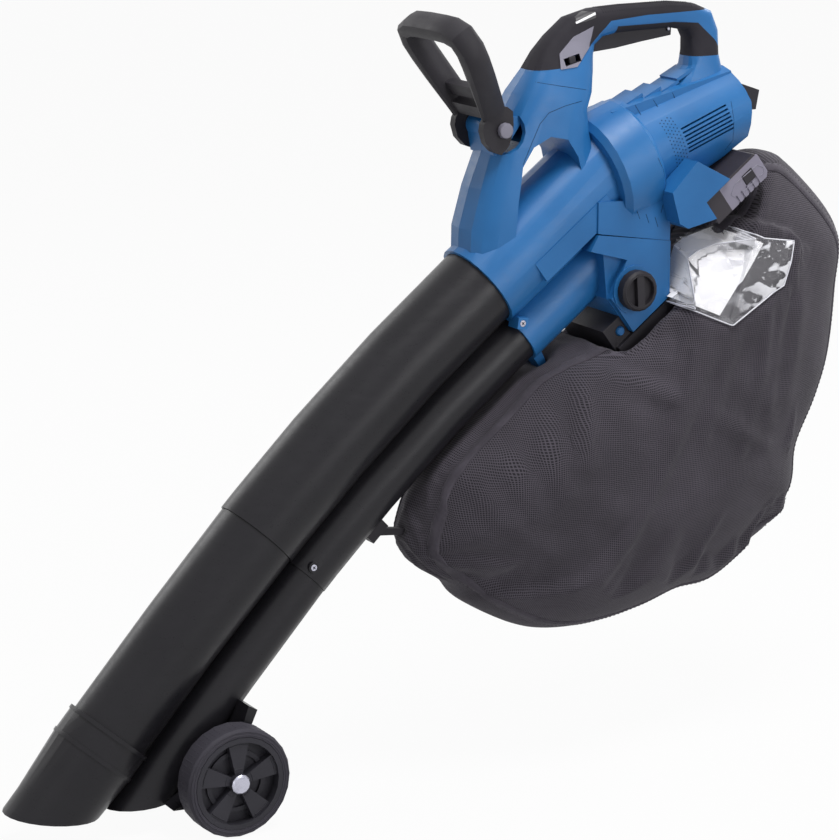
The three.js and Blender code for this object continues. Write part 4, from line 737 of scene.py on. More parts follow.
@dataclass(frozen=True)
class Mark:
    """Where one repeated shape goes: its place, its outward way and its long way."""

    place: Vector
    out: Vector
    along: Vector


class Shape(Enum):
    """The small shapes that are repeated, by the node that makes each."""

    BAR = "GeometryNodeMeshUVSphere"
    DOT = "GeometryNodeMeshCylinder"
    BLOCK = "GeometryNodeMeshCube"


@dataclass(frozen=True)
class Repeated:
    """A small shape repeated at marks by geometry nodes, sized in metres."""

    shape: Shape
    length: float
    width: float
    height: float
    sides: int = 8
    rings: int = 6

    def solid(self, tree: bpy.types.NodeTree) -> bpy.types.NodeSocket:
        """Adds the shape itself, one metre each way about its own middle.

        Args:
            tree: the tree that repeats it.

        Returns:
            The shape's mesh.
        """
        node = tree.nodes.new(self.shape.value)
        sizes = {Shape.BAR: {"Segments": self.sides, "Rings": self.rings, "Radius": 0.5},
                 Shape.DOT: {"Vertices": self.sides, "Radius": 0.5, "Depth": 1.0},
                 Shape.BLOCK: {}}
        for name, value in sizes[self.shape].items():
            node.inputs[name].default_value = value
        return node.outputs["Mesh"]

    def tree(self, name: str, material: bpy.types.Material) -> bpy.types.NodeTree:
        """Builds the tree that sets the shape on every point of a mesh.

        Args:
            name: the tree's name.
            material: what the shapes are made of.

        Returns:
            The tree, with the inputs Length, Width and Height.
        """
        tree, start, end = geometry_tree(name, "Length", "Width", "Height")
        nodes, link = tree.nodes, tree.links.new
        ways = {}
        for way in WAYS:
            ways[way] = nodes.new("GeometryNodeInputNamedAttribute")
            ways[way].data_type = "FLOAT_VECTOR"
            ways[way].inputs["Name"].default_value = way
        stand = nodes.new("FunctionNodeAlignRotationToVector")
        stand.axis = "Z"
        turn = nodes.new("FunctionNodeAlignRotationToVector")
        turn.axis = "X"
        turn.pivot_axis = "Z"
        link(ways["out"].outputs[0], stand.inputs["Vector"])
        link(stand.outputs[0], turn.inputs["Rotation"])
        link(ways["along"].outputs[0], turn.inputs["Vector"])
        size = nodes.new("ShaderNodeCombineXYZ")
        for index in range(3):
            link(start.outputs[index + 1], size.inputs[index])
        setting = nodes.new("GeometryNodeInstanceOnPoints")
        link(start.outputs["Geometry"], setting.inputs["Points"])
        link(self.solid(tree), setting.inputs["Instance"])
        link(turn.outputs[0], setting.inputs["Rotation"])
        link(size.outputs[0], setting.inputs["Scale"])
        real = nodes.new("GeometryNodeRealizeInstances")
        smooth = nodes.new("GeometryNodeSetShadeSmooth")
        smooth.inputs["Shade Smooth"].default_value = self.shape is Shape.BAR
        made = nodes.new("GeometryNodeSetMaterial")
        made.inputs["Material"].default_value = material
        chain(tree, setting, real, smooth, made, end)
        return tree

    def build(self, name: str, marks: list[Mark], body: str, finish: Finish) -> None:
        """Makes one piece of the shape at every mark.

        Args:
            name: the piece's name.
            marks: where the shapes go.
            body: the body that they ride on.
            finish: what they are made of.
        """
        piece = raw_object(name, [mark.place for mark in marks], [], [])
        for way in WAYS:
            layer = piece.data.attributes.new(way, "FLOAT_VECTOR", "POINT")
            for index, mark in enumerate(marks):
                layer.data[index].vector = getattr(mark, way)
        grow(piece, self.tree(name, finish.material()),
             {"Length": self.length, "Width": self.width, "Height": self.height})
        enrol(piece, body, finish)


@dataclass(frozen=True)
class Beading:
    """A round bead that follows paths, made by geometry nodes."""

    radius: float
    sides: int = 6

    def build(self, name: str, paths: list[list[Vector]], body: str, finish: Finish) -> None:
        """Makes one piece with a bead along every path.

        Args:
            name: the piece's name.
            paths: each path's points; a path whose ends meet is closed.
            body: the body that it rides on.
            finish: what it is made of.
        """
        points, edges = [], []
        for path in paths:
            closed = (path[0] - path[-1]).length < self.radius
            steps = path[:-1] if closed else path
            first = len(points)
            points.extend(steps)
            edges.extend((first + i, first + i + 1) for i in range(len(steps) - 1))
            if closed:
                edges.append((first + len(steps) - 1, first))
        piece = raw_object(name, points, edges, [])
        grow(piece, self.tree(name, finish.material()), {"Radius": self.radius})
        enrol(piece, body, finish)

    def tree(self, name: str, material: bpy.types.Material) -> bpy.types.NodeTree:
        """Builds the tree that sweeps a circle along the edges of a mesh.

        Args:
            name: the tree's name.
            material: what the bead is made of.

        Returns:
            The tree, with the input Radius.
        """
        tree, start, end = geometry_tree(name, "Radius")
        nodes = tree.nodes
        line = nodes.new("GeometryNodeMeshToCurve")
        circle = nodes.new("GeometryNodeCurvePrimitiveCircle")
        circle.inputs["Resolution"].default_value = self.sides
        sweep = nodes.new("GeometryNodeCurveToMesh")
        sweep.inputs["Fill Caps"].default_value = True
        tree.links.new(start.outputs["Radius"], circle.inputs["Radius"])
        tree.links.new(circle.outputs[0], sweep.inputs["Profile Curve"])
        smooth = nodes.new("GeometryNodeSetShadeSmooth")
        real = nodes.new("GeometryNodeRealizeInstances")
        made = nodes.new("GeometryNodeSetMaterial")
        made.inputs["Material"].default_value = material
        chain(tree, start, line, sweep, smooth, real, made, end)
        return tree


@dataclass(frozen=True)
class Fold:
    """A fold of the bag's side panels along a line of shares of the bag's sizes."""

    line: tuple[Pair, ...]
    rise: float
    width: float

    def lift(self, along: np.ndarray, up: np.ndarray, sizes: Pair) -> np.ndarray:
        """Gives how far the fold lifts the cloth.

        Args:
            along: how far rearwards of the bag's centre each place is.
            up: how far above the centre each is.
            sizes: the bag's length and height, in metres.

        Returns:
            The lift of each place, in metres.
        """
        corners = np.array(self.line) * sizes
        nearest = np.full(along.shape, np.inf)
        for first, last in zip(corners[:-1], corners[1:]):
            way = last - first
            share = ((along - first[0]) * way[0] + (up - first[1]) * way[1]) / (way @ way)
            share = np.clip(share, 0.0, 1.0)
            nearest = np.minimum(nearest, np.hypot(along - first[0] - share * way[0],
                                                   up - first[1] - share * way[1]))
        return self.rise * np.exp(-((nearest / self.width) ** 2))


class Carried:
    """Carries places on a piece's rest surface over to its settled surface."""

    def __init__(self, rest: list[Vector], piece: bpy.types.Object) -> None:
        """Matches the rest points with the settled mesh.

        Args:
            rest: where the mesh's points were at rest.
            piece: the settled piece.
        """
        mesh = piece.data
        mesh.calc_loop_triangles()
        self.rest = rest
        self.now = [vertex.co.copy() for vertex in mesh.vertices]
        self.normals = [vertex.normal.copy() for vertex in mesh.vertices]
        self.triangles = [tuple(triangle.vertices) for triangle in mesh.loop_triangles]
        self.tree = BVHTree.FromPolygons(rest, self.triangles)

    def place(self, point: Vector) -> tuple[Vector, Vector]:
        """Carries one place over.

        Args:
            point: a place on the rest surface.

        Returns:
            Its settled place, and the surface's direction there.
        """
        near, _, index, _ = self.tree.find_nearest(point)
        corners = self.triangles[index]
        moved = barycentric_transform(near, *(self.rest[c] for c in corners),
                                      *(self.now[c] for c in corners))
        return moved, sum((self.normals[c] for c in corners), Vector()).normalized()


@dataclass
class CollectionBag:
    """The hanging bag of dark mesh: two side panels and a gusset, taped at the seams."""

    centre: Pair = BAG_CENTRE
    length: float = BAG_LENGTH
    height: float = BAG_HEIGHT
    half_width: float = 122 * MM
    roundness: float = 2.5
    fullness: float = 0.975
    around: int = 240
    across: int = 48
    gap: float = 3.6 * MM
    ease_rounds: int = 5
    fold_from: float = 0.45
    fold_over: float = 0.35
    pouch_gap: float = 2.2 * MM
    voxel: float = 7.2 * MM
    held_within: float = 13 * MM
    steps: int = 20
    most_inward: float = 8 * MM
    most_outward: float = 5 * MM
    seam_share: float = 0.42
    tape_half: float = 6.5 * MM
    stitch_pitch: float = 6.5 * MM
    stitch_rows: Pair = (-0.6, 0.6)
    stitch_rise: float = 1.35 * MM
    least_stitch: float = 0.4
    stitch: Repeated = Repeated(Shape.BAR, 3.6 * MM, 0.6 * MM, 0.6 * MM, 5)
    pack_way: Triple = (0.798636, 0.0, 0.601815)
    pack_travel: tuple[int, ...] = tuple(range(0, 49, 8))
    tape_profile: tuple[Pair, ...] = (
        (-1.0, 0.1), (-0.85, 1.1), (0.0, 1.4), (0.85, 1.1), (1.0, 0.1), (0.85, -0.9),
        (0.0, -0.9), (-0.85, -0.9),
    )
    cloth: tuple[tuple[str, object], ...] = (
        ("quality", 5), ("mass", 0.12), ("tension_stiffness", 18.0),
        ("compression_stiffness", 14.0), ("shear_stiffness", 6.0), ("bending_stiffness", 0.6),
        ("shrink_min", -0.03), ("use_pressure", True), ("uniform_pressure_force", 1.0),
        ("vertex_group_mass", "held"),
    )
    gravity: float = 0.5
    outline_shares: tuple[Pair, ...] = (
        (-0.221, 0.175), (-0.320, 0.087), (-0.442, -0.027), (-0.500, -0.167),
        (-0.476, -0.211), (-0.395, -0.270), (-0.362, -0.312), (-0.265, -0.372),
        (-0.186, -0.392), (-0.100, -0.390), (-0.013, -0.374), (0.070, -0.350),
        (0.147, -0.342), (0.226, -0.294), (0.292, -0.238), (0.354, -0.194),
        (0.370, -0.150), (0.376, -0.075), (0.420, 0.025),
        (0.451, 0.130), (0.464, 0.278), (0.465, 0.400), (0.367, 0.523), (0.282, 0.585),
        (0.256, 0.568), (0.222, 0.500), (0.168, 0.440), (0.090, 0.420), (0.067, 0.405),
        (0.045, 0.333), (0.000, 0.297), (-0.053, 0.252), (-0.130, 0.205),
    )
    folds: tuple[Fold, ...] = (
        Fold(((-0.190, 0.187), (-0.193, 0.119), (-0.199, 0.047), (-0.202, -0.016)),
             -9 * MM, 12 * MM),
        Fold(((-0.225, 0.178), (-0.260, 0.103), (-0.266, 0.036), (-0.256, -0.031),
              (-0.241, -0.070)), 7 * MM, 15 * MM),
        Fold(((-0.164, 0.180), (-0.087, 0.146), (-0.008, 0.102), (0.073, 0.056),
              (0.154, 0.009), (0.226, -0.033)), -8 * MM, 12 * MM),
        Fold(((-0.121, 0.212), (-0.032, 0.186), (0.054, 0.148), (0.140, 0.104),
              (0.216, 0.060)), 5 * MM, 15 * MM),
        Fold(((-0.115, 0.239), (-0.044, 0.223), (0.024, 0.190), (0.093, 0.139)),
             -6 * MM, 10 * MM),
        Fold(((-0.491, -0.083), (-0.457, -0.129), (-0.407, -0.170)), 4 * MM, 9 * MM),
        Fold(((-0.429, 0.009), (-0.386, -0.079), (-0.332, -0.149), (-0.256, -0.203)),
             5 * MM, 13 * MM),
        Fold(((-0.466, -0.056), (-0.420, -0.125), (-0.360, -0.182), (-0.289, -0.223)),
             -5 * MM, 9 * MM),
        Fold(((-0.345, 0.027), (-0.327, -0.047), (-0.283, -0.115)), -4 * MM, 10 * MM),
        Fold(((0.285, 0.372), (0.295, 0.266), (0.285, 0.162), (0.265, 0.058)),
             -5 * MM, 16 * MM),
        Fold(((0.204, 0.277), (0.238, 0.168), (0.234, 0.062), (0.214, -0.021)),
             4 * MM, 18 * MM),
        Fold(((-0.150, -0.120), (0.000, -0.150), (0.150, -0.110)), 4 * MM, 26 * MM),
        Fold(((-0.230, -0.250), (-0.080, -0.290), (0.080, -0.250)), -4 * MM, 20 * MM),
    )

    def __post_init__(self) -> None:
        """Rounds the outline and gathers what the bag lies against."""
        corners = np.array(self.outline_shares) * (self.length, self.height)
        count = len(corners)
        points = []
        for place in np.linspace(0, count, self.around, endpoint=False):
            index, t = int(place), place - int(place)
            a, b, c, d = (corners[(index + k) % count] for k in (-1, 0, 1, 2))
            # A Catmull-Rom curve from corner b to corner c.
            points.append(0.5 * (2 * b + (c - a) * t + (2 * a - 5 * b + 4 * c - d) * t ** 2
                                 + (3 * b - a - 3 * c + d) * t ** 3))
        self.outline = np.array(points)
        steps = np.hypot(*(np.roll(self.outline, -1, axis=0) - self.outline).T)
        self.arcs = np.concatenate(([0.0], np.cumsum(steps)))
        fixed = Surface(*both("outlet"), "bag_collar", *both("battery_dock", "housing"),
                        "bag_hanger", "tube_upper", "tube_lower", "bag_front_clip",
                        "bag_latch_button", *both("dock_contact"))
        sliding = Surface(*both("battery_pack", "pack_release"),
                          shifts=tuple(tuple(Vector(self.pack_way) * mm * MM)
                                       for mm in self.pack_travel))
        self.pouch = Surface("document_pouch", "pouch_card")
        self.neighbours = (fixed, sliding)
        self.holders = (fixed, self.pouch)

    def middle(self, y: float) -> Vector:
        """Gives the place on the bag's middle line at a distance across the machine."""
        return Vector((self.centre[0], y, self.centre[1]))

    def at(self, row: float, point: np.ndarray) -> Vector:
        """Gives a place on the uncut shell.

        Args:
            row: the place's share of the half width, from -1 to 1.
            point: a point of the outline, about the bag's centre.

        Returns:
            The place.
        """
        scale = (1 - abs(row) ** self.roundness) ** (1 / self.roundness)
        return Vector((self.centre[0] + point[0] * scale, row * self.half_width,
                       self.centre[1] + point[1] * scale))

    def room(self, place: Vector) -> float:
        """Gives how far from the bag's middle line a place may stand.

        Args:
            place: the place.

        Returns:
            The distance, in metres.
        """
        middle = self.middle(place.y)
        way = place - middle
        length = way.length
        if length < NEARLY_NOTHING:
            return 0.0
        way /= length
        for surface in self.neighbours:
            for aside in (-self.gap, 0.0, self.gap):
                met = surface.hit(middle + Vector((0, aside, 0)), way, length + self.gap)
                if met:
                    length = min(length, (met[0] - middle).length - self.gap)
        return max(length, 0.0)

    def shell(self) -> bpy.types.Object:
        """Lofts the bag across the machine, tucked clear of all that it lies against.

        Returns:
            The bag, closed at both sides.
        """
        turns = np.linspace(-0.5, 0.5, self.across + 1) * math.pi * self.fullness
        shares = np.sign(turns) * np.abs(np.sin(turns)) ** (2 / self.roundness)
        places = [[self.at(share, point) for point in self.outline] for share in shares]
        middle = [self.middle(share * self.half_width) for share in shares]
        full = np.array([[(place - middle[row]).length for place in places[row]]
                         for row in range(len(shares))])
        cut = full - np.array([[self.room(place) for place in row] for row in places])
        for _ in range(self.ease_rounds):
            eased = (np.roll(cut, 1, 1) + np.roll(cut, -1, 1) + 2 * cut) / 4
            padded = np.pad(eased, ((1, 1), (0, 0)), mode="edge")
            eased = (padded[:-2] + padded[2:] + 2 * eased) / 4
            cut = np.maximum(cut, eased)
        points = []
        for row, ring in enumerate(places):
            for index, place in enumerate(ring):
                way = (place - middle[row]) / full[row, index]
                points.append(middle[row] + way * (full[row, index] - cut[row, index]))
        faces = closed_strip(self.across + 1, self.around)
        for row, order in ((0, -1), (self.across, 1)):
            faces.append([row * self.around + index for index in range(self.around)][::order])
        return raw_object("bag", self.folded(points), [], faces)

    def pressed(self, place: Vector) -> Vector:
        """Presses a place in where the pouch lies over it.

        Args:
            place: a place on the bag.

        Returns:
            The place, or the one under the pouch.
        """
        side = math.copysign(1.0, place.y)
        met = self.pouch.hit(Vector((place.x, 0.0, place.z)), Vector((0.0, side, 0.0)))
        if met is None or abs(place.y) < abs(met[0].y) - self.pouch_gap:
            return place
        return Vector((place.x, met[0].y - side * self.pouch_gap, place.z))

    def folded(self, points: list[Vector]) -> list[Vector]:
        """Presses the bag's main folds into both side panels.

        Args:
            points: the shell's points.

        Returns:
            The folded points.
        """
        flat = np.array([(p.x - self.centre[0], p.z - self.centre[1]) for p in points])
        lift = sum(fold.lift(flat[:, 0], flat[:, 1], (self.length, self.height))
                   for fold in self.folds)
        done = []
        for point, rise in zip(points, lift):
            share = abs(point.y) / self.half_width
            weight = min(1.0, max(0.0, (share - self.fold_from) / self.fold_over))
            done.append(self.pressed(Vector((
                point.x, point.y + math.copysign(rise * weight, point.y), point.z))))
        return done

    def sag(self, bag: bpy.types.Object) -> list[Vector]:
        """Lets the cloth sag, held where it meets the machine.

        Args:
            bag: the remeshed bag.

        Returns:
            Where its points were at rest.
        """
        rest = [vertex.co.copy() for vertex in bag.data.vertices]
        held = bag.vertex_groups.new(name="held")
        for index, place in enumerate(rest):
            if any(holder.tree.find_nearest(place, self.held_within)[0] is not None
                   for holder in self.holders):
                held.add([index], 1.0, "REPLACE")
        cloth = bag.modifiers.new("cloth", "CLOTH")
        for name, value in self.cloth:
            setattr(cloth.settings, name, value)
        cloth.settings.effector_weights.gravity = self.gravity
        cloth.point_cache.frame_start = 1
        cloth.point_cache.frame_end = self.steps
        for step in range(1, self.steps + 1):
            bpy.context.scene.frame_set(step)
        settle(bag)
        bpy.context.scene.frame_set(1)
        bag.vertex_groups.clear()
        self.cap(bag, rest)
        return rest

    def cap(self, bag: bpy.types.Object, rest: list[Vector]) -> None:
        """Caps how far the points moved and keeps them clear of the machine.

        Args:
            bag: the sagged bag.
            rest: where its points were.
        """
        probe = bag.data.copy()
        probe.vertices.foreach_set("co", [value for place in rest for value in place])
        probe.update()
        outward = [vertex.normal.copy() for vertex in probe.vertices]
        bpy.data.meshes.remove(probe)
        for vertex, start, normal in zip(bag.data.vertices, rest, outward):
            moved = vertex.co - start
            out = moved.dot(normal)
            kept = min(self.most_outward, max(-self.most_inward, out))
            aside = moved - normal * out
            if aside.length > self.most_inward:
                aside *= self.most_inward / aside.length
            vertex.co = start + normal * kept + aside
        for vertex in bag.data.vertices:
            vertex.co = self.tucked(vertex.co)
            vertex.co = self.pressed(vertex.co)
        bag.data.update()

    def unwrap(self, bag: bpy.types.Object, rest: list[Vector]) -> None:
        """Lays the threads: upright on the side panels, along the run on the gusset.

        Args:
            bag: the settled bag.
            rest: where its points were at rest.
        """
        layer = bag.data.uv_layers.new(name="cloth")
        angles = np.unwrap(np.arctan2(self.outline[:, 1], self.outline[:, 0]))
        total = self.arcs[-1]
        turn = angles[-1] + (angles[-1] - angles[-2]) - angles[0]
        for face in bag.data.polygons:
            places = [rest[index] for index in face.vertices]
            aside = abs(sum(place.y for place in places)) / len(places)
            first = None
            for corner, place in zip(face.loop_indices, places):
                if aside > self.seam_share * self.half_width:
                    layer.data[corner].uv = (place.x, place.z)
                    continue
                angle = math.atan2(place.z - self.centre[1], place.x - self.centre[0])
                share = ((angle - angles[0]) / turn) % 1.0
                arc = share * total
                first = arc if first is None else first
                arc += total * round((first - arc) / total)
                layer.data[corner].uv = (arc, place.y)

    def tape(self, carried: Carried, side: int, name: str) -> list[Mark]:
        """Sews the binding tape over one seam.

        Args:
            carried: the settled bag.
            side: -1 for the left seam, 1 for the right one.
            name: the tape's name.

        Returns:
            Where its stitches go.
        """
        profile = self.tape_profile
        seam = side * self.seam_share
        rows = []
        for point in self.outline:
            row = []
            for aside, rise in profile:
                share = seam + aside * self.tape_half / self.half_width
                place, normal = carried.place(self.tucked(self.at(share, point)))
                row.append(place + normal * rise * MM)
            rows.append(row)
        count, sides = len(rows), len(profile)
        faces = []
        for i in range(count):
            for j in range(sides):
                near, far = i * sides, ((i + 1) % count) * sides
                faces.append((near + j, far + j, far + (j + 1) % sides, near + (j + 1) % sides))
        piece = raw_object(name, [place for row in rows for place in row], [], faces)
        mend_normals(piece)
        layer = piece.data.uv_layers.new(name="cloth")
        for face in piece.data.polygons:
            for corner in face.loop_indices:
                index = piece.data.loops[corner].vertex_index
                run = self.arcs[index // sides]
                if face.index >= (count - 1) * sides and index // sides == 0:
                    run = self.arcs[-1]
                layer.data[corner].uv = (run, profile[index % sides][0] * self.tape_half)
        enrol(piece, "machine", Finish.TAPE)
        return self.stitches(carried, seam)

    def tucked(self, place: Vector) -> Vector:
        """Pulls a place in to where the bag has room for it.

        Args:
            place: a place of the bag.

        Returns:
            The place itself where it has room, or the one further in.
        """
        middle = self.middle(place.y)
        way = place - middle
        room = self.room(place)
        if room >= way.length:
            return place
        return middle + way * (room / way.length)

    def stitches(self, carried: Carried, seam: float) -> list[Mark]:
        """Places two rows of stitches along one tape.

        Args:
            carried: the settled bag.
            seam: the seam's share of the half width.

        Returns:
            Where the stitches go.
        """
        marks = []
        for aside in self.stitch_rows:
            share = seam + aside * self.tape_half / self.half_width
            spots = []
            for run in np.arange(0.0, self.arcs[-1], self.stitch_pitch):
                index = int(np.searchsorted(self.arcs, run, side="right")) - 1
                part = (run - self.arcs[index]) / (self.arcs[index + 1] - self.arcs[index])
                point = (self.outline[index] * (1 - part)
                         + self.outline[(index + 1) % self.around] * part)
                spots.append(carried.place(self.tucked(self.at(share, point))))
            for number, (place, normal) in enumerate(spots):
                along = spots[(number + 1) % len(spots)][0] - place
                if along.length > self.stitch_pitch * self.least_stitch:
                    marks.append(Mark(place + normal * self.stitch_rise, normal,
                                      along.normalized()))
        return marks

    def build(self) -> None:
        """Lofts, tucks, sags, unwraps and sews the bag."""
        bag = self.shell()
        mend_normals(bag)
        remesh = bag.modifiers.new("remesh", "REMESH")
        remesh.mode = "VOXEL"
        remesh.voxel_size = self.voxel
        settle(bag)
        rest = self.sag(bag)
        bag.data.shade_smooth()
        self.unwrap(bag, rest)
        paint(bag, Finish.NET)
        carried = Carried(rest, bag)
        smooth = bag.modifiers.new("smooth", "SUBSURF")
        smooth.levels = smooth.render_levels = 1
        enrol(bag, "machine", Finish.NET)
        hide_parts("collection_bag")
        marks = self.tape(carried, -1, "bag_tape_left") + self.tape(carried, 1, "bag_tape_right")
        self.stitch.build("bag_stitches", marks, "machine", Finish.THREAD)


@dataclass
class DocumentPouch:
    """The clear creased pouch on the bag's left side, sealed round its edge."""

    centre: Pair = BAG_CENTRE
    length: float = BAG_LENGTH
    height: float = BAG_HEIGHT
    around: int = 150
    rings: int = 26
    film: float = 0.3 * MM
    seal: float = 0.9 * MM
    inset: float = 0.985
    clear: float = 0.1 * MM
    side: float = -0.11
    loose_from: float = 0.69
    loose_over: float = 0.06
    edge_steepness: float = 7
    outline_shares: tuple[Pair, ...] = (
        (-0.030, 0.303), (-0.026, 0.420), (0.008, 0.445), (0.099, 0.455), (0.201, 0.403),
        (0.282, 0.387), (0.245, 0.300), (0.220, 0.290), (0.114, 0.233),
    )

    def outline(self) -> list[np.ndarray]:
        """Spaces points evenly along the pouch's edge.

        Returns:
            The points, seen from the side.
        """
        corners = [np.array((self.centre[0] + along * self.length,
                             self.centre[1] + up * self.height))
                   for along, up in self.outline_shares]
        steps = [np.linalg.norm(b - a) for a, b in zip(corners, corners[1:] + corners[:1])]
        runs = np.concatenate(([0.0], np.cumsum(steps)))
        points = []
        for run in np.linspace(0, runs[-1], self.around, endpoint=False):
            index = int(np.searchsorted(runs, run, side="right")) - 1
            part = (run - runs[index]) / steps[index]
            points.append(corners[index] * (1 - part)
                          + corners[(index + 1) % len(corners)] * part)
        return points

    def crease(self, x: float, z: float, inside: float) -> float:
        """Gives how far the film stands off, more at its loose rear end.

        Args:
            x: the place's distance to the rear.
            z: its height.
            inside: its share of the way from the edge to the middle.

        Returns:
            The distance, in metres.
        """
        loose = min(1.0, max(0.0, (x - self.loose_from) / self.loose_over))
        edge = min(1.0, inside * self.edge_steepness)
        # Slow swells and sharper wrinkles, both drawn slantwise over the film.
        wave = noise.noise(Vector((x * 26 + z * 9, 3.1, z * 34 - x * 8)))
        sharp = 1 - abs(noise.noise(Vector((x * 60 - z * 25, 7.7, z * 70 + x * 30)))) * 2
        return edge * ((0.5 + 1.6 * loose) * (wave + 0.8) + (0.2 + 1.2 * loose) * sharp) * MM

    def build(self) -> None:
        """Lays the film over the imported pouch's outside and seals its edge."""
        carrier = Surface("document_pouch")
        outline = self.outline()
        middle = sum(outline) / len(outline)
        points = []
        for ring in range(self.rings):
            inside = ring / self.rings
            for corner in outline:
                x, z = middle + (corner - middle) * (1 - inside) * self.inset
                met = carrier.hit(Vector((x, -1.0, z)), Vector((0, 1, 0)))
                place = (met[0] if met
                         else carrier.tree.find_nearest(Vector((x, self.side, z)))[0])
                lift = self.crease(x, z, inside) + self.clear
                points.append(Vector((place.x, place.y - lift, place.z)))
        faces = closed_strip(self.rings, self.around)
        last = (self.rings - 1) * self.around
        faces.append([last + i for i in range(self.around)])
        film = raw_object("pouch_film", points, [], faces)
        thick = film.modifiers.new("thick", "SOLIDIFY")
        thick.thickness = self.film
        thick.offset = 0.0
        settle(film)
        mend_normals(film)
        enrol(film, "machine", Finish.FILM)
        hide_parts("document_pouch")
        rim = points[:self.around]
        Beading(self.seal).build("pouch_seal", [rim + rim[:1]], "machine", Finish.SEAL)


@dataclass(frozen=True)
class Lamp:
    """A soft round lamp: its place and width in metres, and its power in watts."""

    name: str
    place: Triple
    power: float
    width: float

    def data(self) -> bpy.types.Light:
        """Makes the lamp's light.

        Returns:
            The light.
        """
        light = bpy.data.lights.new(self.name, "AREA")
        light.energy = self.power
        light.shape = "DISK"
        light.size = self.width
        return light


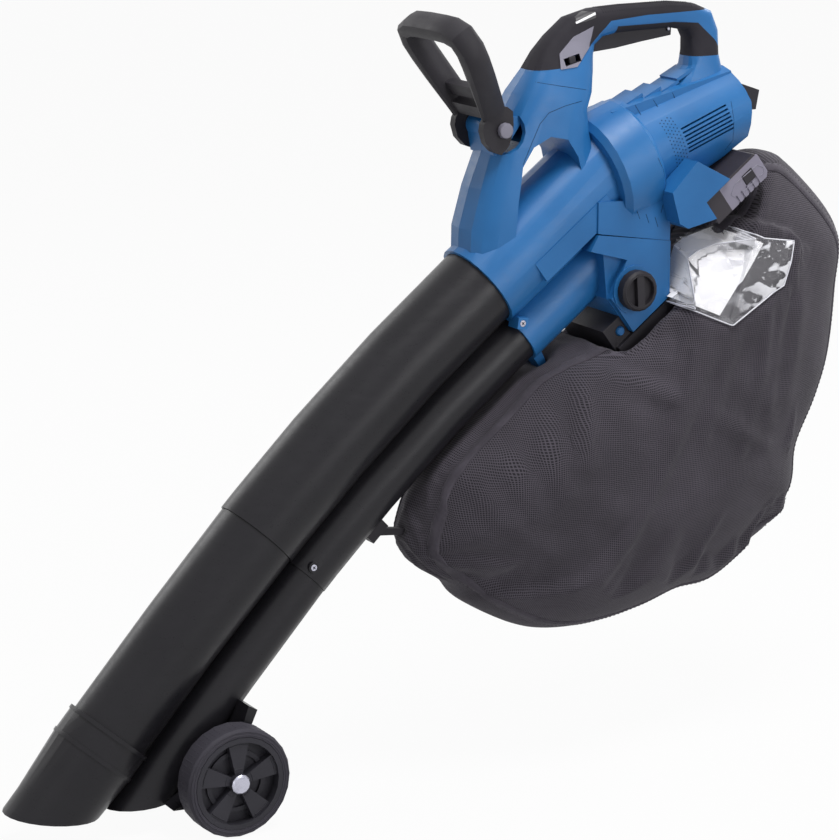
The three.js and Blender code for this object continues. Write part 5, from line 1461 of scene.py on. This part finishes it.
@dataclass
class Studio:
    """The pale floor, the soft lights and the camera."""

    target: Triple = (0.29209, 0.0, 0.44346)
    azimuth: float = math.radians(-30)
    elevation: float = math.radians(14)
    distance: float = 3.55
    focal_pixels: float = 2960.0
    frame_pixels: float = 840.0
    middle: Pair = (419.5, 420.0)
    sensor: float = 36.0
    floor_half: float = 30.0
    floor_grey: float = 0.6
    floor_glow: float = 0.95
    room_light: float = 0.26
    lamps: tuple[Lamp, ...] = (
        Lamp("key", (0.5, -1.0, 3.7), 88.0, 1.5),
        Lamp("front", (1.4, -3.0, 1.5), 30.0, 1.8),
        Lamp("fill", (-3.2, -1.6, 0.7), 5.0, 1.6),
        Lamp("rim", (3.0, 0.6, 2.0), 36.0, 1.6),
        Lamp("far", (-0.8, 3.2, 1.9), 22.0, 2.0),
    )

    def shown(self, tree: bpy.types.NodeTree) -> bpy.types.NodeSocket:
        """Tells the rays that show a thing from the rays that light others with it.

        Args:
            tree: the floor's or the room's node tree.

        Returns:
            1 for rays from the camera, a reflection or clear film, otherwise 0.
        """
        seen = tree.nodes.new("ShaderNodeLightPath").outputs
        share = seen["Is Camera Ray"]
        for name in ("Is Glossy Ray", "Is Transmission Ray"):
            either = tree.nodes.new("ShaderNodeMath")
            either.operation = "MAXIMUM"
            tree.links.new(share, either.inputs[0])
            tree.links.new(seen[name], either.inputs[1])
            share = either.outputs[0]
        return share

    def back(self) -> Vector:
        """Gives the way from the machine to the camera.

        Returns:
            The way, one metre long.
        """
        return Vector((math.sin(self.azimuth) * math.cos(self.elevation),
                       -math.cos(self.azimuth) * math.cos(self.elevation),
                       math.sin(self.elevation)))

    def aim(self, name: str, data: bpy.types.ID, place: Vector, way: Vector) -> bpy.types.Object:
        """Puts a lamp or the camera in the scene.

        Args:
            name: the object's name.
            data: its light or camera.
            place: where it stands.
            way: where it faces.

        Returns:
            The new object.
        """
        item = bpy.data.objects.new(name, data)
        item.location = place
        item.rotation_mode = "QUATERNION"
        item.rotation_quaternion = way.to_track_quat("-Z", "Y")
        bpy.context.scene.collection.objects.link(item)
        return item

    def sight(self, across: float, down: float) -> tuple[Vector, Vector]:
        """Gives the line of sight through a place in the 839 by 840 picture.

        Args:
            across: pixels from the picture's left edge.
            down: pixels from its top edge.

        Returns:
            The camera's place and the line's direction.
        """
        back = self.back()
        right = Vector((math.cos(self.azimuth), math.sin(self.azimuth), 0.0))
        above = back.cross(right)
        way = (right * (across - self.middle[0]) - above * (down - self.middle[1])
               - back * self.focal_pixels)
        return Vector(self.target) + back * self.distance, way.normalized()

    def camera(self) -> None:
        """Sets the camera at the photograph's place and field of view."""
        back = self.back()
        data = bpy.data.cameras.new("camera")
        data.sensor_width = self.sensor
        data.lens = self.sensor * self.focal_pixels / self.frame_pixels
        place = Vector(self.target) + back * self.distance
        bpy.context.scene.camera = self.aim("camera", data, place, -back)

    def floor(self) -> None:
        """Lays the floor, white to the camera apart from the machine's soft shadow."""
        half = self.floor_half
        floor = raw_object("floor", [(-half, -half, 0), (half, -half, 0), (half, half, 0),
                                     (-half, half, 0)], [], [(0, 1, 2, 3)])
        material = bpy.data.materials.new("floor")
        material.use_nodes = True
        tree = material.node_tree
        surface = tree.nodes["Principled BSDF"]
        surface.inputs["Base Color"].default_value = (*[self.floor_grey] * 3, 1.0)
        surface.inputs["Roughness"].default_value = 1.0
        surface.inputs["Specular IOR Level"].default_value = 0.0
        glow = tree.nodes.new("ShaderNodeEmission")
        both_ways = tree.nodes.new("ShaderNodeMixShader")
        share = tree.nodes.new("ShaderNodeMath")
        share.operation = "MULTIPLY"
        share.inputs[1].default_value = self.floor_glow
        for output, target in ((self.shown(tree), share.inputs[0]),
                               (share.outputs[0], both_ways.inputs[0]),
                               (surface.outputs[0], both_ways.inputs[1]),
                               (glow.outputs[0], both_ways.inputs[2]),
                               (both_ways.outputs[0],
                                tree.nodes["Material Output"].inputs["Surface"])):
            tree.links.new(output, target)
        floor.data.materials.append(material)

    def light(self) -> None:
        """Lights the machine from above, from the front left and softly all round."""
        world = bpy.data.worlds.new("room")
        world.use_nodes = True
        bpy.context.scene.world = world
        tree = world.node_tree
        room = tree.nodes["Background"]
        room.inputs["Color"].default_value = (1.0, 1.0, 1.0, 1.0)
        strength = tree.nodes.new("ShaderNodeMapRange")
        strength.inputs["To Min"].default_value = self.room_light
        strength.inputs["To Max"].default_value = 1.0
        tree.links.new(self.shown(tree), strength.inputs["Value"])
        tree.links.new(strength.outputs[0], room.inputs["Strength"])
        for lamp in self.lamps:
            place = Vector(lamp.place)
            self.aim(lamp.name, lamp.data(), place, Vector(self.target) - place)

    def build(self) -> None:
        """Builds the whole studio."""
        self.camera()
        self.floor()
        self.light()
        bpy.context.scene.view_settings.view_transform = "Standard"


@dataclass
class Machine:
    """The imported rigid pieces, each with its finish and the radius of its edges."""

    shell_edge: float = 2.2 * MM
    tube_edge: float = 1.2 * MM
    part_edge: float = 0.8 * MM
    fine_edge: float = 0.3 * MM

    def build(self) -> None:
        """Dresses every rigid node."""
        wear = (
            (Finish.TUBE, self.tube_edge, ("tube_upper", "tube_lower", "suction_nozzle")),
            (Finish.TYRE, self.part_edge, both("wheel_tyre")),
            (Finish.WHEEL, self.part_edge, both("wheel_hub")),
            (Finish.SHELL, self.shell_edge, both("housing", "outlet", "battery_dock")),
            (Finish.SHELL, self.fine_edge, ("bag_latch_button",)),
            (Finish.GRIP, self.part_edge, ("grip_cover", "grip_pad")),
            (Finish.PLASTIC, self.part_edge, (
                "trigger", "speed_slider", "bail_handle", "selector_knob", "selector_flap",
                "bag_collar", "bag_hanger", "bag_front_clip", *both("pack_release"))),
            (Finish.PLASTIC, self.fine_edge, ("trigger_switch", *both("dock_contact"))),
            # The head panel is the glossy side of the black handle; its light grey is a painted
            # highlight.
            (Finish.PACK, self.part_edge, (*both("bail_cap"), "head_panel")),
            (Finish.PACK_CASE, self.part_edge, both("battery_pack")),
            (Finish.LENS, self.fine_edge, ("light_strip",)),
            (Finish.STEEL, self.fine_edge, (
                "wheel_axle", *both("axle_cap"), "trigger_pin", "bail_bolt",
                *both("collar_screw", "tube_screw"), *HOUSING_SCREWS, "motor_shaft",
                "bearing_front", "bearing_rear")),
            (Finish.MOTOR, self.fine_edge, ("motor_plate", "motor_can")),
            (Finish.FAN, self.fine_edge, ("impeller",)),
            (Finish.BOARD, self.fine_edge, ("control_board",)),
            (Finish.CARD, self.fine_edge, ("pouch_card",)),
        )
        shell = RoundedShell()
        for finish, edge, nodes in wear:
            for node in nodes:
                shell.dress(node, finish, edge)


@dataclass
class Trim:
    """The lines, ribs, dots and slots that run over the rigid pieces."""

    studio: Studio
    line: float = 0.5 * MM
    sunk_share: float = 0.45
    pace: float = 3.0
    barrel_start: Triple = (532.73 * MM, 0.0, 719.36 * MM)
    barrel_slope: float = math.radians(19.5)
    barrel_off: float = 0.2
    barrel_reach: float = 0.17
    plate: Repeated = Repeated(Shape.BLOCK, 27 * MM, 37 * MM, 4 * MM)
    plate_middles: tuple[float, ...] = (77 * MM, 104.5 * MM, 131 * MM, 156 * MM)
    plate_tilt: float = math.radians(7)
    plate_aside: float = 6 * MM
    plate_off: float = 0.15
    plate_lift: float = 0.2 * MM
    grip_rib: Repeated = Repeated(Shape.BAR, 5 * MM, 1.6 * MM, 1.3 * MM, 6)
    grip_along: Triple = (538 * MM, 668 * MM, 3.4 * MM)
    grip_across: Triple = (-14 * MM, 14.1 * MM, 3.5 * MM)
    grip_above: float = 1.1
    grip_reach: float = 0.4
    grip_facing: float = 0.55
    dot: Repeated = Repeated(Shape.DOT, 1.9 * MM, 1.9 * MM, 0.3 * MM, 8)
    dot_rows: int = 5
    dots_round: int = 17
    dots_from: float = -34
    dot_turn: float = 4.6
    dot_rows_from: float = 86 * MM
    dot_row_pitch: float = 4.2 * MM
    screw_slot: Repeated = Repeated(Shape.BLOCK, 4.6 * MM, 1.1 * MM, 0.24 * MM)
    wheel_height: float = 66 * MM
    wheel_outside: float = 80 * MM
    wheel_off: float = 0.4
    wheel_facing: float = 0.35
    wheel_bead: Beading = Beading(0.7 * MM)
    tyre_rings: Pair = (59 * MM, 62.5 * MM)
    hub_rings: Pair = (17.5 * MM, 46.5 * MM)
    ring_steps: int = 72
    tread_rib: Repeated = Repeated(Shape.BAR, 7.5 * MM, 2.2 * MM, 1.3 * MM, 6)
    tread_ribs: int = 60
    tread_rows: Triple = (0.3, 0.5, 0.7)
    tread_off: float = 0.2
    tread_sunk: float = 0.35 * MM
    rim_bead: Beading = Beading(0.6 * MM)
    rim_sunk: float = 0.1 * MM
    rim_spread: float = 3 * MM
    knob_bead: Beading = Beading(0.5 * MM)
    knob_steps: int = 40
    knob_off: float = 0.1
    knob_reach: float = 0.3
    shell_lines: tuple[tuple[Pair, ...], ...] = (
        ((535, 82), (560, 86), (588, 90)),
        ((582, 101), (565, 106), (549, 113), (540, 124), (532, 143), (523, 165)),
        ((658, 158), (663, 169), (666, 182), (665, 198), (661, 213)),
        ((635, 105), (641, 115)), ((652, 98), (658, 107)), ((671, 90), (675, 98)),
        ((731, 101), (734, 120), (733, 140), (725, 150)),
        ((637, 211), (640, 219)), ((646, 214), (649, 223)), ((655, 217), (658, 227)),
    )
    pack_line: tuple[Pair, ...] = ((737, 198), (764, 172), (763, 167), (757, 165), (735, 184),
                                   (731, 195), (737, 198))

    def traced(self, surface: Surface, pixels: tuple, sunk: float) -> list[Vector]:
        """Lays a line of the picture's pixels on a surface.

        Args:
            surface: what carries the line.
            pixels: the line's corners in the picture.
            sunk: how deep its middle lies, in metres.

        Returns:
            Places along the line.
        """
        places = []
        for (x, y), (to_x, to_y) in zip(pixels[:-1], pixels[1:]):
            count = max(1, round(math.hypot(to_x - x, to_y - y) / self.pace))
            for step in range(count):
                share = step / count
                met = surface.hit(*self.studio.sight(x + (to_x - x) * share,
                                                     y + (to_y - y) * share))
                if met:
                    places.append(met[0] - met[1] * sunk)
        met = surface.hit(*self.studio.sight(*pixels[-1]))
        return places + ([met[0] - met[1] * sunk] if met else [])

    def seams(self) -> None:
        """Lays the dark part lines of the blue shell on both sides."""
        surface = Surface("housing_left")
        left = [self.traced(surface, pixels, self.line * self.sunk_share)
                for pixels in self.shell_lines]
        left = [path for path in left if len(path) > 1]
        right = [[Vector((p.x, -p.y, p.z)) for p in path] for path in left]
        Beading(self.line).build("shell_lines", left + right, "machine", Finish.LINE)

    def barrel_frame(self) -> tuple[Vector, Vector, Vector]:
        """Gives the motor barrel's start, its axis and the way up from it."""
        axis = Vector((math.cos(self.barrel_slope), 0.0, math.sin(self.barrel_slope)))
        return Vector(self.barrel_start), axis, Vector((-axis.z, 0.0, axis.x))

    def spine_plates(self) -> None:
        """Laps the plates of the barrel's spine, each with its front end raised."""
        start, axis, above = self.barrel_frame()
        surface = Surface(*both("housing"))
        out = (above - axis * math.sin(self.plate_tilt)).normalized()
        marks = []
        for along in self.plate_middles:
            aside = Vector((0, self.plate_aside, 0))
            met = surface.hit(start + axis * along + above * self.plate_off - aside,
                              -above)
            if met:
                place = Vector((met[0].x, 0.0, met[0].z))
                marks.append(Mark(place + above * self.plate_lift, out, axis))
        self.plate.build("spine_plates", marks, "machine", Finish.SHELL)

    def grip_ribs(self) -> None:
        """Ribs the rubber along the top of the grip, where it faces upwards."""
        surface = Surface("grip_cover", "grip_pad")
        marks = []
        for x in np.arange(*self.grip_along):
            for y in np.arange(*self.grip_across):
                met = surface.hit(Vector((x, y, self.grip_above)), Vector((0, 0, -1)),
                                  self.grip_reach)
                if met and met[1].z > self.grip_facing:
                    marks.append(Mark(met[0], met[1], Vector((0, 1, 0))))
        self.grip_rib.build("grip_ribs", marks, "machine", Finish.GRIP)

    def intake_dots(self) -> None:
        """Sets the fine dark dots of the cooling intake in front of the barrel's vents, painted
        shade standing for the intake's holes.
        """
        start, axis, above = self.barrel_frame()
        marks = []
        for side, name in SIDES:
            surface = Surface(f"housing_{name}")
            for row in range(self.dot_rows):
                for place in range(self.dots_round):
                    turn = math.radians(self.dots_from + place * self.dot_turn
                                        + (row % 2) * self.dot_turn / 2)
                    out = Vector((0, side * math.cos(turn), 0)) + above * math.sin(turn)
                    middle = start + axis * (self.dot_rows_from + row * self.dot_row_pitch)
                    met = surface.hit(middle + out * self.barrel_off, -out,
                                      self.barrel_reach)
                    if met:
                        marks.append(Mark(met[0], met[1], axis))
        # The dots are raised discs in the dark line colour: painted shade of the intake's holes.
        self.dot.build("intake_dots", marks, "machine", Finish.LINE)

    def screw_slots(self) -> None:
        """Lays two crossed near black bars on every screw head: painted shade of its cross slot.
        """
        marks = []
        for node in (*both("collar_screw", "tube_screw"), *HOUSING_SCREWS):
            side = -1 if node.endswith("left") else 1
            low, high = box(node)
            middle = (low + high) / 2
            face = Vector((middle.x, low.y if side < 0 else high.y, middle.z))
            for way in (Vector((1, 0, 1)), Vector((1, 0, -1))):
                marks.append(Mark(face, Vector((0, side, 0)), way.normalized()))
        self.screw_slot.build("screw_slots", marks, "machine", Finish.LINE_DARK)

    def ring_runs(self, surface: Surface, radius: float, side: int) -> list[list[Vector]]:
        """Finds where a circle about the axle lies on the outer face of a wheel.

        Args:
            surface: the wheel's tyre or hub.
            radius: the circle's radius, in metres.
            side: -1 for the left wheel, 1 for the right one.

        Returns:
            The runs of places along it, one closed run where it lies on the face all round.
        """
        runs, run = [], []
        for place in range(self.ring_steps):
            turn = math.tau * place / self.ring_steps
            start = Vector((radius * math.cos(turn), side * self.wheel_off,
                            self.wheel_height + radius * math.sin(turn)))
            met = surface.hit(start, Vector((0, -side, 0)), self.wheel_off)
            if (met and abs(met[1].y) > self.wheel_facing
                    and abs(met[0].y) > self.wheel_outside):
                run.append(met[0])
                continue
            if len(run) > 2:
                runs.append(run)
            run = []
        if len(run) == self.ring_steps:
            run = run + run[:1]
        return [*runs, run] if len(run) > 2 else runs

    def wheel_rings(self) -> None:
        """Rings both tyres and hubs with their moulded lines."""
        for side, name in SIDES:
            for part, radii, finish in (("tyre", self.tyre_rings, Finish.TYRE),
                                        ("hub", self.hub_rings, Finish.WHEEL)):
                surface = Surface(f"wheel_{part}_{name}")
                paths = [run for radius in radii for run in self.ring_runs(surface, radius, side)]
                if paths:
                    self.wheel_bead.build(f"{part}_rings_{name}", paths, f"wheel_{name}", finish)

    def tread(self) -> None:
        """Ribs the treads of both tyres."""
        for _, name in SIDES:
            low, high = box(f"wheel_tyre_{name}")
            surface = Surface(f"wheel_tyre_{name}")
            marks = []
            for place in range(self.tread_ribs):
                turn = math.tau * place / self.tread_ribs
                out = Vector((math.cos(turn), 0, math.sin(turn)))
                for row in self.tread_rows:
                    y = low.y + (high.y - low.y) * row
                    start = Vector((0, y, self.wheel_height)) + out * self.tread_off
                    met = surface.hit(start, -out, self.tread_off)
                    if met:
                        marks.append(Mark(met[0] - out * self.tread_sunk, out,
                                          Vector((0, 1, 0))))
            self.tread_rib.build(f"tread_ribs_{name}", marks, f"wheel_{name}", Finish.TYRE)

    def pack_rims(self) -> None:
        """Raises the thin rim line on the outer face of both packs."""
        surface = Surface("battery_pack_left", "pack_release_left")
        left = self.traced(surface, self.pack_line, self.rim_sunk)
        left = [place for place in left if abs(place.y - left[0].y) < self.rim_spread]
        for side, name in SIDES:
            path = [Vector((p.x, -p.y * side, p.z)) for p in left]
            self.rim_bead.build(f"pack_rim_{name}", [path], f"pack_{name}", Finish.PACK)

    def knob_rings(self) -> None:
        """Rings the selector knob's face and the latch button."""
        for node, share, body, finish in (("selector_knob", 0.40, "selector", Finish.PLASTIC),
                                          ("bag_latch_button", 0.32, "latch", Finish.SHELL)):
            low, high = box(node)
            middle = (low + high) / 2
            radius = (high.x - low.x) * share
            surface = Surface(node)
            ring = []
            for place in range(self.knob_steps):
                turn = math.tau * place / self.knob_steps
                start = Vector((middle.x + radius * math.cos(turn), low.y - self.knob_off,
                                middle.z + radius * math.sin(turn)))
                met = surface.hit(start, Vector((0, 1, 0)), self.knob_reach)
                if met:
                    ring.append(met[0])
            if len(ring) > 2:
                self.knob_bead.build(f"{body}_ring", [ring + ring[:1]], body, finish)

    def build(self) -> None:
        """Makes every line, rib, dot and slot."""
        for make in (self.seams, self.spine_plates, self.grip_ribs, self.intake_dots,
                     self.screw_slots, self.wheel_rings, self.tread, self.pack_rims,
                     self.knob_rings):
            make()


def main() -> None:
    """Builds the studio, dresses the machine and sews the bag."""
    logging.basicConfig(level=logging.INFO, format="%(message)s")
    studio = Studio()
    studio.build()
    Machine().build()
    Trim(studio).build()
    CollectionBag().build()
    DocumentPouch().build()


if __name__ == "__main__":
    main()
